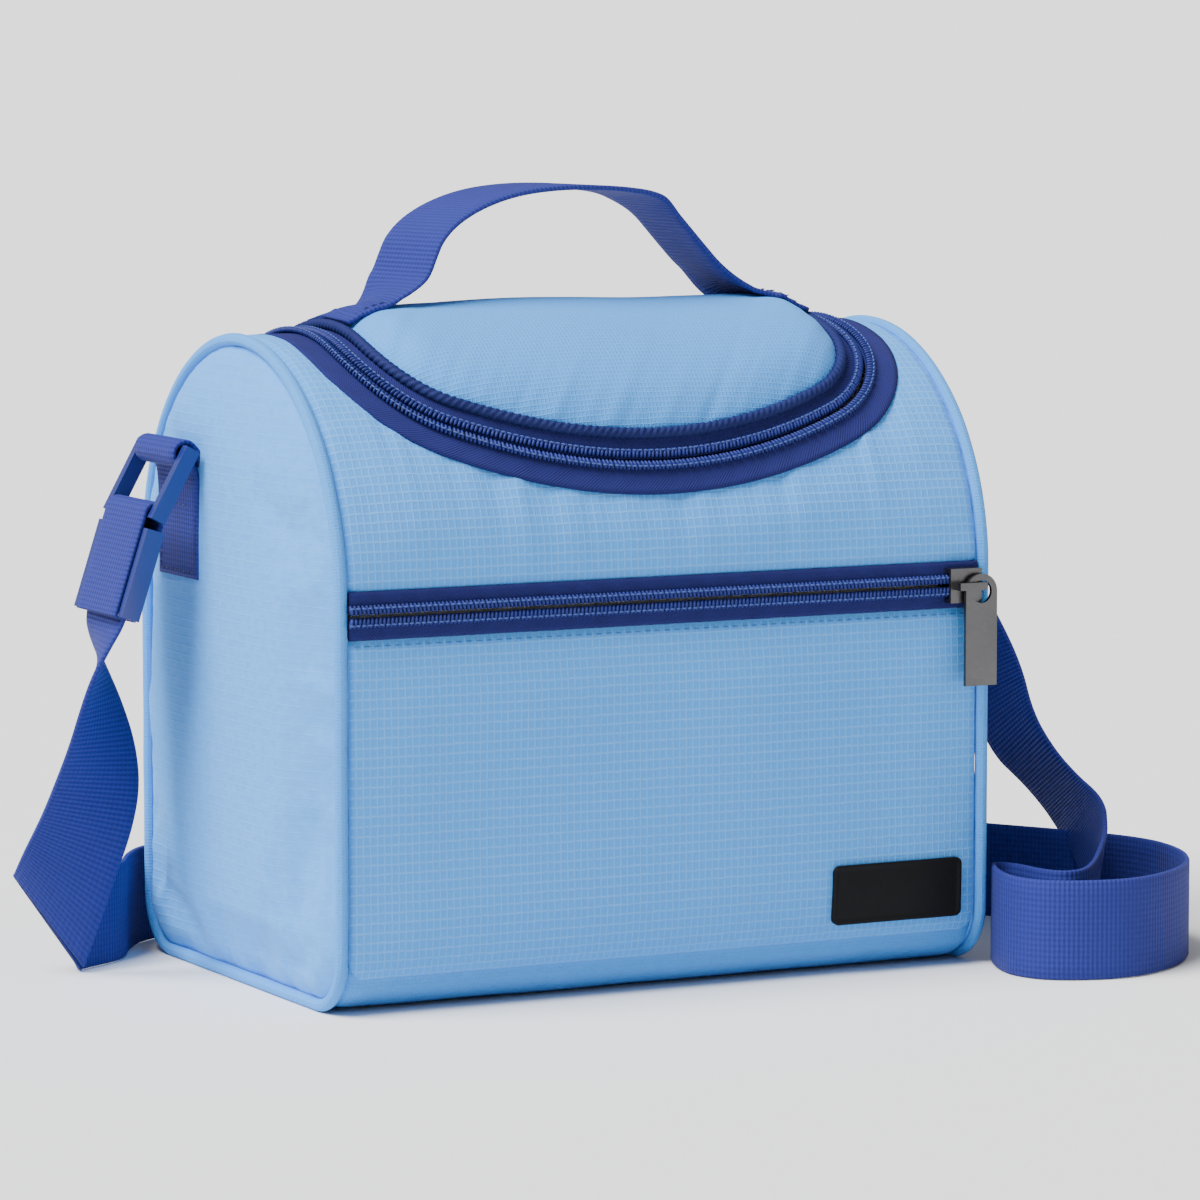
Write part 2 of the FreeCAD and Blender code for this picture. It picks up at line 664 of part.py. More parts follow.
def ribbon(label, points, base, wide, placement=None):
    """Webbing standing on edge along a plan path, from a height up by its width."""
    pieces = bends(points)
    left = beside(pieces, WEB_THICK / 2)
    right = beside(pieces, -WEB_THICK / 2)
    first = Part.LineSegment(left[0].Vertexes[0].Point, right[0].Vertexes[0].Point).toShape()
    last = Part.LineSegment(left[-1].Vertexes[-1].Point, right[-1].Vertexes[-1].Point).toShape()
    outline = Part.Wire(Part.__sortEdges__(left + right + [first, last]))
    solid = Part.Face(outline).extrude(V(0, 0, wide))
    solid.translate(V(0, 0, base))
    length = sum(edge.Length for edge in beside(pieces, 0.0))
    radii = [round(piece[4], 1) for piece in pieces if piece[0] == "arc"]
    print("%s: length %.1f, radii %s, volume ratio %.4f"
          % (label, length, radii, solid.Volume / (length * wide * WEB_THICK)))
    thing = doc.addObject("Part::Feature", label)
    thing.Shape = solid
    if placement:
        thing.Placement = placement
    keep(label, thing)
    return length


def twisted(label, stations):
    """Webbing through stations of a middle point and a width direction, ruled between."""
    wires = []
    for k, (point, across) in enumerate(stations):
        before = V(*stations[max(k - 1, 0)][0])
        after = V(*stations[min(k + 1, len(stations) - 1)][0])
        along = (after - before).normalize()
        wide = V(*across)
        wide = wide * (WEB_WIDE / 2 / (wide - along * wide.dot(along)).Length)
        thick = along.cross(wide).normalize() * (WEB_THICK / 2)
        middle = V(*point)
        corners = [middle + wide + thick, middle - wide + thick,
                   middle - wide - thick, middle + wide - thick]
        wires.append(Part.makePolygon(corners + corners[:1]))
    thing = doc.addObject("Part::Feature", label)
    thing.Shape = Part.makeLoft(wires, True, True)
    keep(label, thing)
    points = [V(*point) for point, _ in stations]
    return sum((b - a).Length for a, b in zip(points, points[1:]))


# Middle line of the shoulder strap on the floor, seen from above.
STRAP_FLOOR = (
    (138.5, -98.0), (130.5, -98.5), (126.5, -90.0), (126.3, -78.0), (122.0, -70.0), (117.6, -77.5),
    (116.8, -92.0), (118.5, -107.0), (127.0, -118.5), (142.0, -121.5), (158.0, -115.5),
    (173.0, -104.0), (185.0, -88.0), (192.0, -69.0), (193.5, -50.0), (187.0, -32.0),
    (175.0, -12.0), (162.0, 8.0), (148.0, 34.0), (134.0, 62.0), (116.0, 90.0),
    (86.0, 102.0), (44.0, 101.0), (0.0, 97.0), (-44.0, 99.0), (-84.0, 99.0),
    (-110.0, 90.0), (-123.0, 73.0), (-131.0, 56.0), (-148.0, 46.0),
)
# Hanging stretches: middle point and width direction, from the hardware to the floor.
STRAP_RIGHT = (
    ((141.6, 24.0, 143.5), (0.0, -1.0, 0.0)),
    ((150.5, 21.5, 124.0), (0.12, -1.0, 0.10)),
    ((160.0, 16.5, 103.0), (0.22, -1.0, 0.24)),
    ((168.5, 10.0, 81.5), (0.16, -0.93, 0.36)),
    ((176.0, 4.0, 62.5), (-0.02, -0.84, 0.54)),
    ((181.5, -5.0, 53.0), (-0.16, -0.91, 0.37)),
    ((184.5, -16.0, 46.5), (-0.24, -0.93, 0.27)),
    ((183.0, -30.0, 41.2), (-0.26, -0.93, 0.2)),
    ((178.4, -43.0, 36.8), (-0.25, -0.88, 0.25)),
    ((172.4, -53.5, 31.5), (-0.2, -0.75, 0.5)),
    ((165.0, -64.5, 25.5), (-0.12, -0.45, 0.8)),
    ((156.5, -77.0, 20.0), (0.0, -0.15, 1.0)),
    ((148.0, -89.0, 17.0), (0.0, 0.0, 1.0)),
    ((138.5, -98.0, 16.2), (0.0, 0.0, 1.0)),
)
STRAP_LEFT = (
    ((-149.6, 24.0, 115.2), (0.0, 1.0, 0.0)),
    ((-150.9, 24.3, 107.5), (0.22, 1.0, 0.0)),
    ((-151.2, 24.8, 98.0), (0.5, 0.88, 0.0)),
    ((-150.2, 25.8, 86.0), (0.74, 0.68, 0.0)),
    ((-149.4, 27.2, 74.0), (0.88, 0.44, -0.05)),
    ((-150.2, 29.0, 62.0), (0.95, 0.18, -0.12)),
    ((-153.0, 31.0, 50.0), (0.97, 0.05, -0.24)),
    ((-156.8, 34.0, 38.5), (0.90, 0.02, -0.46)),
    ((-160.2, 37.6, 26.5), (0.74, -0.02, -0.70)),
    ((-162.0, 41.0, 16.4), (0.61, -0.16, -0.79)),
)
# The slanting fold, where the strap turns from hanging down to standing on the floor.
STRAP_FOLD = (
    ((-162.4, 42.9, 16.4), (-0.61, 0.16, 0.79)),
    ((-156.0, 44.2, 16.2), (-0.22, 0.06, 0.98)),
    ((-148.0, 46.0, 16.15), (0.0, 0.0, 1.0)),
)


def make_strap():
    """The shoulder strap: two hanging stretches and the long stretch on the floor."""
    lengths = [twisted("strap_hang_right", STRAP_RIGHT),
               ribbon("strap_floor", STRAP_FLOOR, 0.2, WEB_WIDE),
               twisted("strap_fold", STRAP_FOLD),
               twisted("strap_hang_left", STRAP_LEFT)]
    print("strap stretches:", [round(n, 1) for n in lengths], "total", round(sum(lengths), 1))


def hanging(sign):
    """Placement whose local -Z runs down and outward from the tab's loop."""
    at = V(sign * dim("LoopOut"), TAB_Y, dim("LoopHeight"))
    return FreeCAD.Placement(at, FreeCAD.Rotation(Y_AXIS, -sign * dim("HangAngle")))


def threaded(sign, angle):
    """Placement at the ring's lower bar whose local -Z runs along the webbing below it."""
    bar = hanging(sign).multVec(V(0, 0, -dim("RingLong")))
    return FreeCAD.Placement(bar, FreeCAD.Rotation(Y_AXIS, -sign * angle))


def make_tabs():
    """Doubled webbing sewn to each side, with a loop at its top around the ring's bar."""
    panel_out = SIDE_PLANE + dim("SideBulge") + 0.2
    thick = 2 * WEB_THICK
    loop_outer = 4.6
    for side, sign in SIDES:
        label = "strap_tab_" + side
        body = new_body(label)
        low = panel_out if sign > 0 else -panel_out - thick
        block(body, label + "_strip", (low, TAB_Y - WEB_WIDE / 2, "Dimensions.TabBottom"),
              (thick, "Dimensions.WebbingWide", dim("LoopHeight") - dim("TabBottom")))
        loop = V(sign * dim("LoopOut"), TAB_Y, dim("LoopHeight"))
        round_bar(body, label + "_loop", loop, Y_AXIS, loop_outer, WEB_WIDE)
        round_bar(body, label + "_hole", loop, Y_AXIS, loop_outer - WEB_THICK, 2 * WEB_WIDE, cut=True)
        keep(label, body)


def rail_frame(label, long, rail, bars, placement):
    """Moulded loop: two flat rails joined by round bars at the given drops."""
    body = new_body(label)
    inner = WEB_WIDE / 2 + 0.7
    wide = dim("RailWide")
    for k, start in enumerate((-inner - wide, inner)):
        block(body, "%s_rail_%d" % (label, k), (-rail / 2, start, -long),
              (rail, "Dimensions.RailWide", long))
    for k, drop in enumerate(bars):
        round_bar(body, "%s_bar_%d" % (label, k), V(0, 0, -drop), Y_AXIS,
                  "Dimensions.BarRadius", 2 * inner + 1.0)
    body.Placement = placement
    return keep(label, body)


def make_hardware():
    """A ring on each tab, the strap adjuster, and the webbing threaded through them."""
    long = dim("RingLong")
    bar = dim("BarRadius")
    for side, sign in SIDES:
        frame = rail_frame("ring_" + side, long + 2 * bar, 5.0, (bar, long + bar), hanging(sign))
        frame.Placement = hanging(sign).multiply(FreeCAD.Placement(V(0, 0, bar), FreeCAD.Rotation()))

    size = dim("AdjusterLong")
    drop = FreeCAD.Placement(V(0, 0, -dim("AdjusterDrop")), FreeCAD.Rotation())
    rail_frame("strap_adjuster", size, 6.0, (bar, size / 2, size - bar),
               threaded(-1, dim("ThreadAngle")).multiply(drop))

    # Each threaded loop is a U about the ring's lower bar, drawn from the side.
    turn = bar + 0.4
    outer = turn + WEB_THICK
    reach = (("left", -1, dim("AdjusterDrop") + size + 0.8, dim("ThreadAngle")),
             ("right", 1, 6.0, dim("HangAngle")))
    for side, sign, leg, angle in reach:
        label = "strap_thread_" + side
        body = new_body(label)
        round_bar(body, label + "_bend", V(0, 0, 0), Y_AXIS, outer, WEB_WIDE)
        block(body, label + "_legs", (-outer, -WEB_WIDE / 2, -leg), (2 * outer, WEB_WIDE, leg))
        block(body, label + "_space", (-turn, -WEB_WIDE, -leg - 1), (2 * turn, 2 * WEB_WIDE, leg + 1),
              cut=True)
        round_bar(body, label + "_hole", V(0, 0, 0), Y_AXIS, turn, 2 * WEB_WIDE, cut=True)
        body.Placement = threaded(sign, angle)
        keep(label, body)


# Middle line of the handle, seen from the front: out along the lid, then up and over.
HANDLE_LEG = ((66.0, 217.2), (59.0, 220.6), (54.5, 228.5), (48.0, 236.5))
HANDLE_BOW = ((47.6, 236.8), (36.0, 244.0), (20.0, 249.0), (0.0, 250.4),
              (-20.0, 249.0), (-36.0, 244.0), (-47.6, 236.8))


def make_handle():
    """Webbing handle: sewn feet on the lid, an S-shaped leg at each end and the bow."""
    # Drawn in plan as x and height, then stood up with its width along Y.
    upright = FreeCAD.Placement(V(0, WEB_WIDE / 2, 0), FreeCAD.Rotation(X_AXIS, 90))
    for side, sign in SIDES:
        ribbon("handle_leg_" + side, [(sign * x, z) for x, z in HANDLE_LEG], 0.0, WEB_WIDE, upright)
        patch = slab("foot_zone_" + side, V(min(sign * 81.6, sign * 66.2), -WEB_WIDE / 2, 150),
                     V(max(sign * 81.6, sign * 66.2), WEB_WIDE / 2, FAR))
        shell = boolean("Cut", "foot_shell_" + side, dome("foot_outer_" + side, dim("DomeRadius") + 1.9),
                        dome("foot_inner_" + side, dim("DomeRadius") + 0.1))
        keep("handle_foot_" + side, boolean("Common", "handle_foot_" + side, shell, patch))
    ribbon("handle_bow", list(HANDLE_BOW), 0.0, WEB_WIDE, upright)


# ---------------------------------------------------------------- build and write
def check_and_write():
    doc.recompute()
    faults = ["%s: %s" % (thing.Label, thing.State) for thing in doc.Objects
              if any(mark in ("Invalid", "Error") for mark in thing.State)]
    for label, thing in NODES.items():
        shape = thing.Shape
        if shape.isNull() or not shape.isValid() or not shape.Solids or shape.Volume <= 0:
            faults.append("%s: bad shape" % label)
    if faults:
        raise SystemExit("faults:\n" + "\n".join(faults))
    os.makedirs("parts", exist_ok=True)
    for label, thing in NODES.items():
        thing.Shape.exportStep("parts/%s.step" % label)
        print("%-22s %9.1f mm3  solids %d" % (label, thing.Shape.Volume, len(thing.Shape.Solids)))
    print(len(NODES), "nodes written")


make_sides()
make_shell()
make_core()
make_lid()
make_pocket_zip()
make_sliders()
make_label()
make_strap()
make_tabs()
make_hardware()
make_handle()
check_and_write()
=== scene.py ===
# %% [markdown]
# # Insulated cooler bag
# A sewn lunch cooler: light blue ripstop over foam, a domed lid with a zip round three sides, a front
# pocket, a webbing handle and a shoulder strap that lies in a loop on the table beside it. The frame holds
# the plain solids that say where everything is and what moves. The fabric is made anew here, piece by
# piece, and the moulded and metal parts keep their solids and only get a better finish.

import math

import bmesh
import bpy
from mathutils import Matrix, Vector, noise


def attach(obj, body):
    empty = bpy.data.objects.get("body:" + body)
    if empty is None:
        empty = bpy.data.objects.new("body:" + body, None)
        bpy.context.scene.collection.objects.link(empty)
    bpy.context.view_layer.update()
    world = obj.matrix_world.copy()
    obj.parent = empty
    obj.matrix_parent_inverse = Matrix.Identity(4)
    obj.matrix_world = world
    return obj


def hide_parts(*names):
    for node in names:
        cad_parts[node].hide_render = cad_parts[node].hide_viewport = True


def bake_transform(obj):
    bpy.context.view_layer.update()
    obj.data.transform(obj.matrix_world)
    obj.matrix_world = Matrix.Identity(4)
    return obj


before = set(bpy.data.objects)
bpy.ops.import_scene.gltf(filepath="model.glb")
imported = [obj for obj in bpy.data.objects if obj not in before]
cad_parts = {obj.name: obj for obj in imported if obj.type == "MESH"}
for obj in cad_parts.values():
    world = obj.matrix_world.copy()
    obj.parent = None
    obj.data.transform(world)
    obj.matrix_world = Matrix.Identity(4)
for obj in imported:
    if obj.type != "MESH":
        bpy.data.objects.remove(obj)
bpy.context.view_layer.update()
MM = 0.001
TINY = 1e-6
UP = Vector((0, 0, 1))
FORWARD = Vector((0, -1, 0))
TO_BACK = Vector((0, 1, 0))

# %% [markdown]
# ## Driving sizes
# The bag is an extruded arch. Seen from its side, the outline is a flat base, two rounded lower corners,
# two straight walls and a half circle. Every panel is measured from that outline, so the few sizes below
# drive them all.

# %% Sizes in millimetres
ARCH_Z = 128.0
ARCH_R = 78.0
CORNER_R = 20.0
SEAM_X = 113.0
PIPE_R = 2.0
FABRIC_INSET = 0.8
LID_LEG = 91.5
LID_FRONT_R = 165.0
LID_CORNER_R = 40.0
LID_TILT = 30.0
BAND = 9.8
TAIL_ANGLE = -52.0
POCKET_TOP = 117.0
ZIP_TOP = 130.6
BASE_SEAM = 10.0
WEB_WIDE = 32.0
WEB_THICK = 1.6
SIDES = (("left", -1), ("right", 1))
print("arch", 2 * ARCH_R, "mm deep,", ARCH_Z + ARCH_R, "mm high")

# %% [markdown]
# ## Camera
# A long lens from a few metres away keeps the upright edges nearly parallel, as in a product catalogue. It
# looks a little down from the front left corner of the bag.

# %% Camera
LENS_MM = 171.0
FULL_FRAME_MM = 36.0
CAMERA_AT = Vector((-0.82277, -1.64226, 0.30990))
CAMERA_LOOKS = Vector((0.4515, 0.8861, -0.1047))
camera_data = bpy.data.cameras.new("studio_camera")
camera_data.lens = LENS_MM
camera_data.sensor_width = FULL_FRAME_MM
camera = bpy.data.objects.new("studio_camera", camera_data)
camera.location = CAMERA_AT
camera.rotation_euler = CAMERA_LOOKS.to_track_quat("-Z", "Y").to_euler()
bpy.context.scene.collection.objects.link(camera)
bpy.context.scene.camera = camera
print("camera at", tuple(CAMERA_AT))

# %% [markdown]
# ## Helpers for sewn work
# Nearly everything on a bag is one of two things. A strip, such as webbing, tape, piping or a zip coil, is
# a section carried along a line. A panel is flat cloth cut to an outline and laid over the foam. So there
# are two makers: one bends a flat grid round a line, the other trims a grid to an outline before it is put
# in place. Both keep the flat sizes in metres as the UV map, so a weave follows the cloth.


# %% Turn a bmesh into a finished piece
def piece(name, bm, material, body=None, stands_for=(), smooth=True):
    """A new object from bm at the origin, riding on a body and standing for the frame's nodes."""
    mesh = bpy.data.meshes.new(name)
    bm.to_mesh(mesh)
    bm.free()
    mesh.polygons.foreach_set("use_smooth", [smooth] * len(mesh.polygons))
    mesh.materials.append(material)
    obj = bpy.data.objects.new(name, mesh)
    bpy.context.scene.collection.objects.link(obj)
    if body:
        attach(obj, body)
    if stands_for:
        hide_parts(*stands_for)
    print(name, len(mesh.polygons), "faces")
    return obj


def smoothstep(t):
    """Eases from 0 to 1 as t goes from 0 to 1."""
    t = min(max(t, 0.0), 1.0)
    return t * t * (3.0 - 2.0 * t)


# %% Carry a section along a line
def sweep(stations, section, ring=False):
    """Cloth round a line: stations are (middle, side, out) in mm, section a closed loop of (side, out)."""
    count, around = len(stations), len(section)
    steps = count if ring else count - 1
    bm = bmesh.new()
    bmesh.ops.create_grid(bm, x_segments=steps, y_segments=around, size=0.5)
    uv = bm.loops.layers.uv.new("UVMap")
    lengths = [0.0]
    for k in range(1, steps + 1):
        lengths.append(lengths[-1] + (stations[k % count][0] - stations[k - 1][0]).length)
    girth = [0.0]
    for k in range(1, around + 1):
        girth.append(girth[-1] + math.dist(section[k % around], section[k - 1]))
    spots = {v: (round((v.co.x + 0.5) * steps), round((v.co.y + 0.5) * around)) for v in bm.verts}
    for face in bm.faces:
        for loop in face.loops:
            i, j = spots[loop.vert]
            loop[uv].uv = (girth[j] * MM, lengths[i] * MM)
    for vert, (i, j) in spots.items():
        middle, side, out = stations[i % count]
        a, b = section[j % around]
        vert.co = (middle + side * a + out * b) * MM
    bmesh.ops.remove_doubles(bm, verts=bm.verts, dist=TINY)
    if not ring:
        bmesh.ops.holes_fill(bm, edges=[e for e in bm.edges if e.is_boundary], sides=0)
    bmesh.ops.recalc_face_normals(bm, faces=bm.faces)
    return bm


FLAT_STEPS = 8


def flat_section(wide, thick, edge=3):
    """A webbing section with rounded edges, as (side, out) in mm, with more points near its edges."""
    r = thick / 2
    half = wide / 2 - r
    right = [(half + r * math.cos(a), r * math.sin(a))
             for a in (math.pi * (k / edge - 0.5) for k in range(edge + 1))]
    across = [half * (1 - 2 * k / FLAT_STEPS) for k in range(1, FLAT_STEPS)]
    top = [(x, r) for x in across]
    left = [(-x, -y) for x, y in right]
    return right + top + left + [(-x, -r) for x in across]


def round_section(radius, sides=12):
    """A round section in mm."""
    return [(radius * math.cos(math.tau * k / sides), radius * math.sin(math.tau * k / sides))
            for k in range(sides)]


def stations_along(points, sides):
    """Stations at points in mm, given each one's side direction; out is square to both."""
    found = []
    for k, point in enumerate(points):
        along = (points[min(k + 1, len(points) - 1)] - points[max(k - 1, 0)]).normalized()
        side = sides[k] if isinstance(sides, list) else sides
        side = (side - along * side.dot(along)).normalized()
        found.append((point, side, along.cross(side).normalized()))
    return found


def rounded_path(corners, step, turns=2, share=0.25):
    """Points about step apart along corners in mm; each turn cuts that share off both sides of a corner."""
    points = [Vector(c) for c in corners]
    for _ in range(turns):
        cut = [points[0]]
        for a, b in zip(points, points[1:]):
            cut += [a.lerp(b, share), a.lerp(b, 1.0 - share)]
        points = cut + [points[-1]]
    even = [points[0]]
    for a, b in zip(points, points[1:]):
        pieces = max(1, round((b - a).length / step))
        even += [a.lerp(b, (k + 1) / pieces) for k in range(pieces)]
    return even


# %% Trim a flat panel and lay it in place
PROBE = 0.2
EDGE_STEPS = 1.6
NEAR_STEPS = 3
SNAP_ROUNDS = 5
SMOOTH_ROUNDS = 3


def trimmed(low, high, step, outside, place):
    """Cloth cut to an outline: outside(u, v) is above 0 off the cloth; place(u, v) gives mm in the frame."""
    wide, tall = high[0] - low[0], high[1] - low[1]
    bm = bmesh.new()
    columns, rows = max(2, round(wide / step)), max(2, round(tall / step))
    bmesh.ops.create_grid(bm, x_segments=columns, y_segments=rows, size=0.5)
    for vert in bm.verts:
        vert.co = (low[0] + (vert.co.x + 0.5) * wide, low[1] + (vert.co.y + 0.5) * tall, 0.0)
    if outside:
        off = [f for f in bm.faces if outside(*f.calc_center_median().xy) > 0]
        bmesh.ops.delete(bm, geom=off, context="FACES")
        near = [v for v in bm.verts if abs(outside(v.co.x, v.co.y)) < NEAR_STEPS * step]
        edge = {v for v in near if v.is_boundary and abs(outside(v.co.x, v.co.y)) < EDGE_STEPS * step}
        for vert in edge:
            for _ in range(SNAP_ROUNDS):
                x, y = vert.co.xy
                gap = outside(x, y)
                gx = (outside(x + PROBE, y) - outside(x - PROBE, y)) / (2 * PROBE)
                gy = (outside(x, y + PROBE) - outside(x, y - PROBE)) / (2 * PROBE)
                size = max(gx * gx + gy * gy, TINY)
                vert.co.x -= gap * gx / size
                vert.co.y -= gap * gy / size
        inner = [v for v in near if v not in edge and not v.is_boundary]
        for _ in range(SMOOTH_ROUNDS):
            bmesh.ops.smooth_vert(bm, verts=inner, factor=0.5, use_axis_x=True, use_axis_y=True)
    uv = bm.loops.layers.uv.new("UVMap")
    for face in bm.faces:
        for loop in face.loops:
            loop[uv].uv = loop.vert.co.xy * MM
    for vert in bm.verts:
        vert.co = place(vert.co.x, vert.co.y) * MM
    return bm


def finish_cloth(obj, thick, levels=1):
    """Gives a single layer of cloth its thickness, towards its back, and rounds it."""
    solid = obj.modifiers.new("cloth_thickness", "SOLIDIFY")
    solid.thickness = thick * MM
    solid.offset = -1.0
    if levels:
        soft = obj.modifiers.new("soft_edges", "SUBSURF")
        soft.levels = levels
        soft.render_levels = levels
    return obj


SETTLE_FRAMES = 18
FOAM_PRESSURE = 0.6


def settle(obj, slack, limit, pressure=FOAM_PRESSURE):
    """Lets one layer of cloth settle under pressure from its foam, sewn down all round its rim.

    slack is how much larger the cloth is than its place, and limit the most a point may move, in mm.
    """
    mesh = obj.data
    rest = [v.co.copy() for v in mesh.vertices]
    uses = {}
    for polygon in mesh.polygons:
        for key in polygon.edge_keys:
            uses[key] = uses.get(key, 0) + 1
    rim = {v for key, count in uses.items() if count == 1 for v in key}
    sewn = obj.vertex_groups.new(name="sewn")
    sewn.add(sorted(rim), 1.0, "REPLACE")
    cloth = obj.modifiers.new("settling", "CLOTH")
    settings = cloth.settings
    settings.quality = 4
    settings.mass = 0.2
    settings.tension_stiffness = 12.0
    settings.compression_stiffness = 12.0
    settings.shear_stiffness = 4.0
    settings.bending_stiffness = 0.25
    settings.use_pressure = True
    settings.uniform_pressure_force = pressure
    settings.shrink_min = -slack
    settings.vertex_group_mass = "sewn"
    settings.effector_weights.gravity = 0.0
    cloth.collision_settings.use_collision = False
    cloth.collision_settings.use_self_collision = False
    scene = bpy.context.scene
    for number in range(1, SETTLE_FRAMES + 1):
        scene.frame_set(number)
        bpy.context.view_layer.update()
    settled = obj.evaluated_get(bpy.context.evaluated_depsgraph_get()).data
    moves = [a.co - b for a, b in zip(settled.vertices, rest)]
    scene.frame_set(1)
    obj.modifiers.remove(cloth)
    obj.vertex_groups.remove(sewn)
    most = 0.0
    for vert, start, move in zip(mesh.vertices, rest, moves):
        size = move.length / MM
        most = max(most, size)
        vert.co = start + move * (min(size, limit) / size if size > 0 else 1.0)
    print(obj.name, "settled by up to", round(most, 2), "mm")
    return obj


# %% The arch outline
WALL_RUN = ARCH_Z - CORNER_R
BASE_HALF = ARCH_R - CORNER_R
CORNER_RUN = CORNER_R * math.pi / 2
ARCH_RUN = ARCH_R * math.pi
FRONT_FOOT = BASE_HALF + CORNER_RUN
FRONT_SPRING = FRONT_FOOT + WALL_RUN
TOP_RUN = FRONT_SPRING + ARCH_RUN / 2


def outline(run):
    """(y, z, out y, out z) at run mm along the arch outline, from the middle of the base up the front."""
    if run > TOP_RUN:
        y, z, ny, nz = outline(2 * TOP_RUN - run)
        return -y, z, -ny, nz
    if run < BASE_HALF:
        return -run, 0.0, 0.0, -1.0
    if run < FRONT_FOOT:
        a = (run - BASE_HALF) / CORNER_R
        ny, nz = -math.sin(a), -math.cos(a)
        return -BASE_HALF + CORNER_R * ny, CORNER_R + CORNER_R * nz, ny, nz
    if run < FRONT_SPRING:
        return -ARCH_R, CORNER_R + run - FRONT_FOOT, -1.0, 0.0
    a = (run - FRONT_SPRING) / ARCH_R
    ny, nz = -math.cos(a), math.sin(a)
    return ARCH_R * ny, ARCH_Z + ARCH_R * nz, ny, nz


def on_arch(x, run, inset):
    """The point at x, run mm along the outline and inset mm inside it."""
    y, z, ny, nz = outline(run)
    return Vector((x, y - ny * inset, z - nz * inset))


def run_at_front(z):
    """How far along the outline the front wall is z mm high."""
    if z >= CORNER_R:
        return FRONT_FOOT + z - CORNER_R
    return BASE_HALF + CORNER_R * math.acos(1 - z / CORNER_R)


def inset_of(y, z):
    """How far inside the arch outline a point of the side view is, in mm."""
    if z >= ARCH_Z:
        return ARCH_R - math.hypot(y, z - ARCH_Z)
    dy = abs(y) - BASE_HALF
    dz = CORNER_R - z
    if dy > 0 and dz > 0:
        return CORNER_R - math.hypot(dy, dz)
    return min(ARCH_R - abs(y), z)


print("outline is", round(2 * TOP_RUN), "mm round")

# %% [markdown]
# ## Materials
# Four effects are shared by several finishes: the raised yarns of a ripstop, the cross ribs of webbing, a
# fine yarn grain, and slow colour drift. Each is a node group with named sockets. They read the UV map,
# which is in metres, so the yarns follow the cloth round every bend.


# %% Node helpers
def node_group(name, inputs, outputs):
    """An empty shader group with float, vector or colour sockets."""
    group = bpy.data.node_groups.new(name, "ShaderNodeTree")
    for socket, kind, value in inputs:
        made = group.interface.new_socket(socket, in_out="INPUT", socket_type=kind)
        if value is not None:
            made.default_value = value
    for socket, kind in outputs:
        group.interface.new_socket(socket, in_out="OUTPUT", socket_type=kind)
    return group, group.nodes.new("NodeGroupInput"), group.nodes.new("NodeGroupOutput")


def math_node(tree, operation, a, b=None, c=None):
    """A Math node; each of a, b and c is a number or a socket."""
    node = tree.nodes.new("ShaderNodeMath")
    node.operation = operation
    for socket, value in zip(node.inputs, (a, b, c)):
        if isinstance(value, (int, float)):
            socket.default_value = value
        elif value is not None:
            tree.links.new(value, socket)
    return node.outputs[0]


def noise_node(tree, vector, scale, detail=2.0, stretch=(1.0, 1.0, 1.0)):
    """Noise over a vector socket, from 0 to 1, stretched per axis."""
    shift = tree.nodes.new("ShaderNodeMapping")
    shift.inputs["Scale"].default_value = stretch
    tree.links.new(vector, shift.inputs["Vector"])
    cloud = tree.nodes.new("ShaderNodeTexNoise")
    cloud.inputs["Scale"].default_value = scale
    cloud.inputs["Detail"].default_value = detail
    tree.links.new(shift.outputs[0], cloud.inputs["Vector"])
    return cloud.outputs["Fac"]


FLOAT, VECTOR, COLOUR = "NodeSocketFloat", "NodeSocketVector", "NodeSocketColor"


# %% Ripstop grid group
YARN_WANDER = 0.25
EDGE_SOFTNESS = 1.6
PATCH_DEPTH = 1.1
PATCH_FLOOR = 0.25


def make_ripstop_grid():
    """Thin raised lines both ways, a little uneven, as the thicker yarns of a ripstop weave."""
    group, given, out = node_group(
        "ripstop_grid",
        [("Vector", VECTOR, None), ("Pitch Across", FLOAT, 0.0024), ("Pitch Along", FLOAT, 0.003),
         ("Line Share", FLOAT, 0.22)],
        [("Mask", FLOAT)])
    wander = noise_node(group, given.outputs["Vector"], scale=260.0)
    parts = group.nodes.new("ShaderNodeSeparateXYZ")
    group.links.new(given.outputs["Vector"], parts.inputs[0])
    masks = []
    for axis, pitch in ((0, "Pitch Across"), (1, "Pitch Along")):
        turns = math_node(group, "DIVIDE", parts.outputs[axis], given.outputs[pitch])
        turns = math_node(group, "MULTIPLY_ADD", wander, YARN_WANDER, turns)
        wave = math_node(group, "PINGPONG", turns, 0.5)
        edge = math_node(group, "MULTIPLY", given.outputs["Line Share"], 0.5)
        ease = group.nodes.new("ShaderNodeMapRange")
        ease.interpolation_type = "SMOOTHSTEP"
        group.links.new(wave, ease.inputs["Value"])
        ease.inputs["From Min"].default_value = 0.0
        group.links.new(math_node(group, "MULTIPLY", edge, EDGE_SOFTNESS), ease.inputs["From Max"])
        ease.inputs["To Min"].default_value = 1.0
        ease.inputs["To Max"].default_value = 0.0
        masks.append(ease.outputs[0])
    patchy = noise_node(group, given.outputs["Vector"], scale=420.0)
    both = math_node(group, "MAXIMUM", masks[0], masks[1])
    patch = math_node(group, "MULTIPLY_ADD", patchy, PATCH_DEPTH, PATCH_FLOOR)
    group.links.new(math_node(group, "MULTIPLY", both, patch), out.inputs["Mask"])
    return group


# %% Rib, grain and drift groups
RIB_HEIGHT = 0.34
FLOAT_HEIGHT = 0.16
FIBRE_HEIGHT = 0.35
RIB_LIFT = 0.4
CROSSED_HEIGHT = 0.25


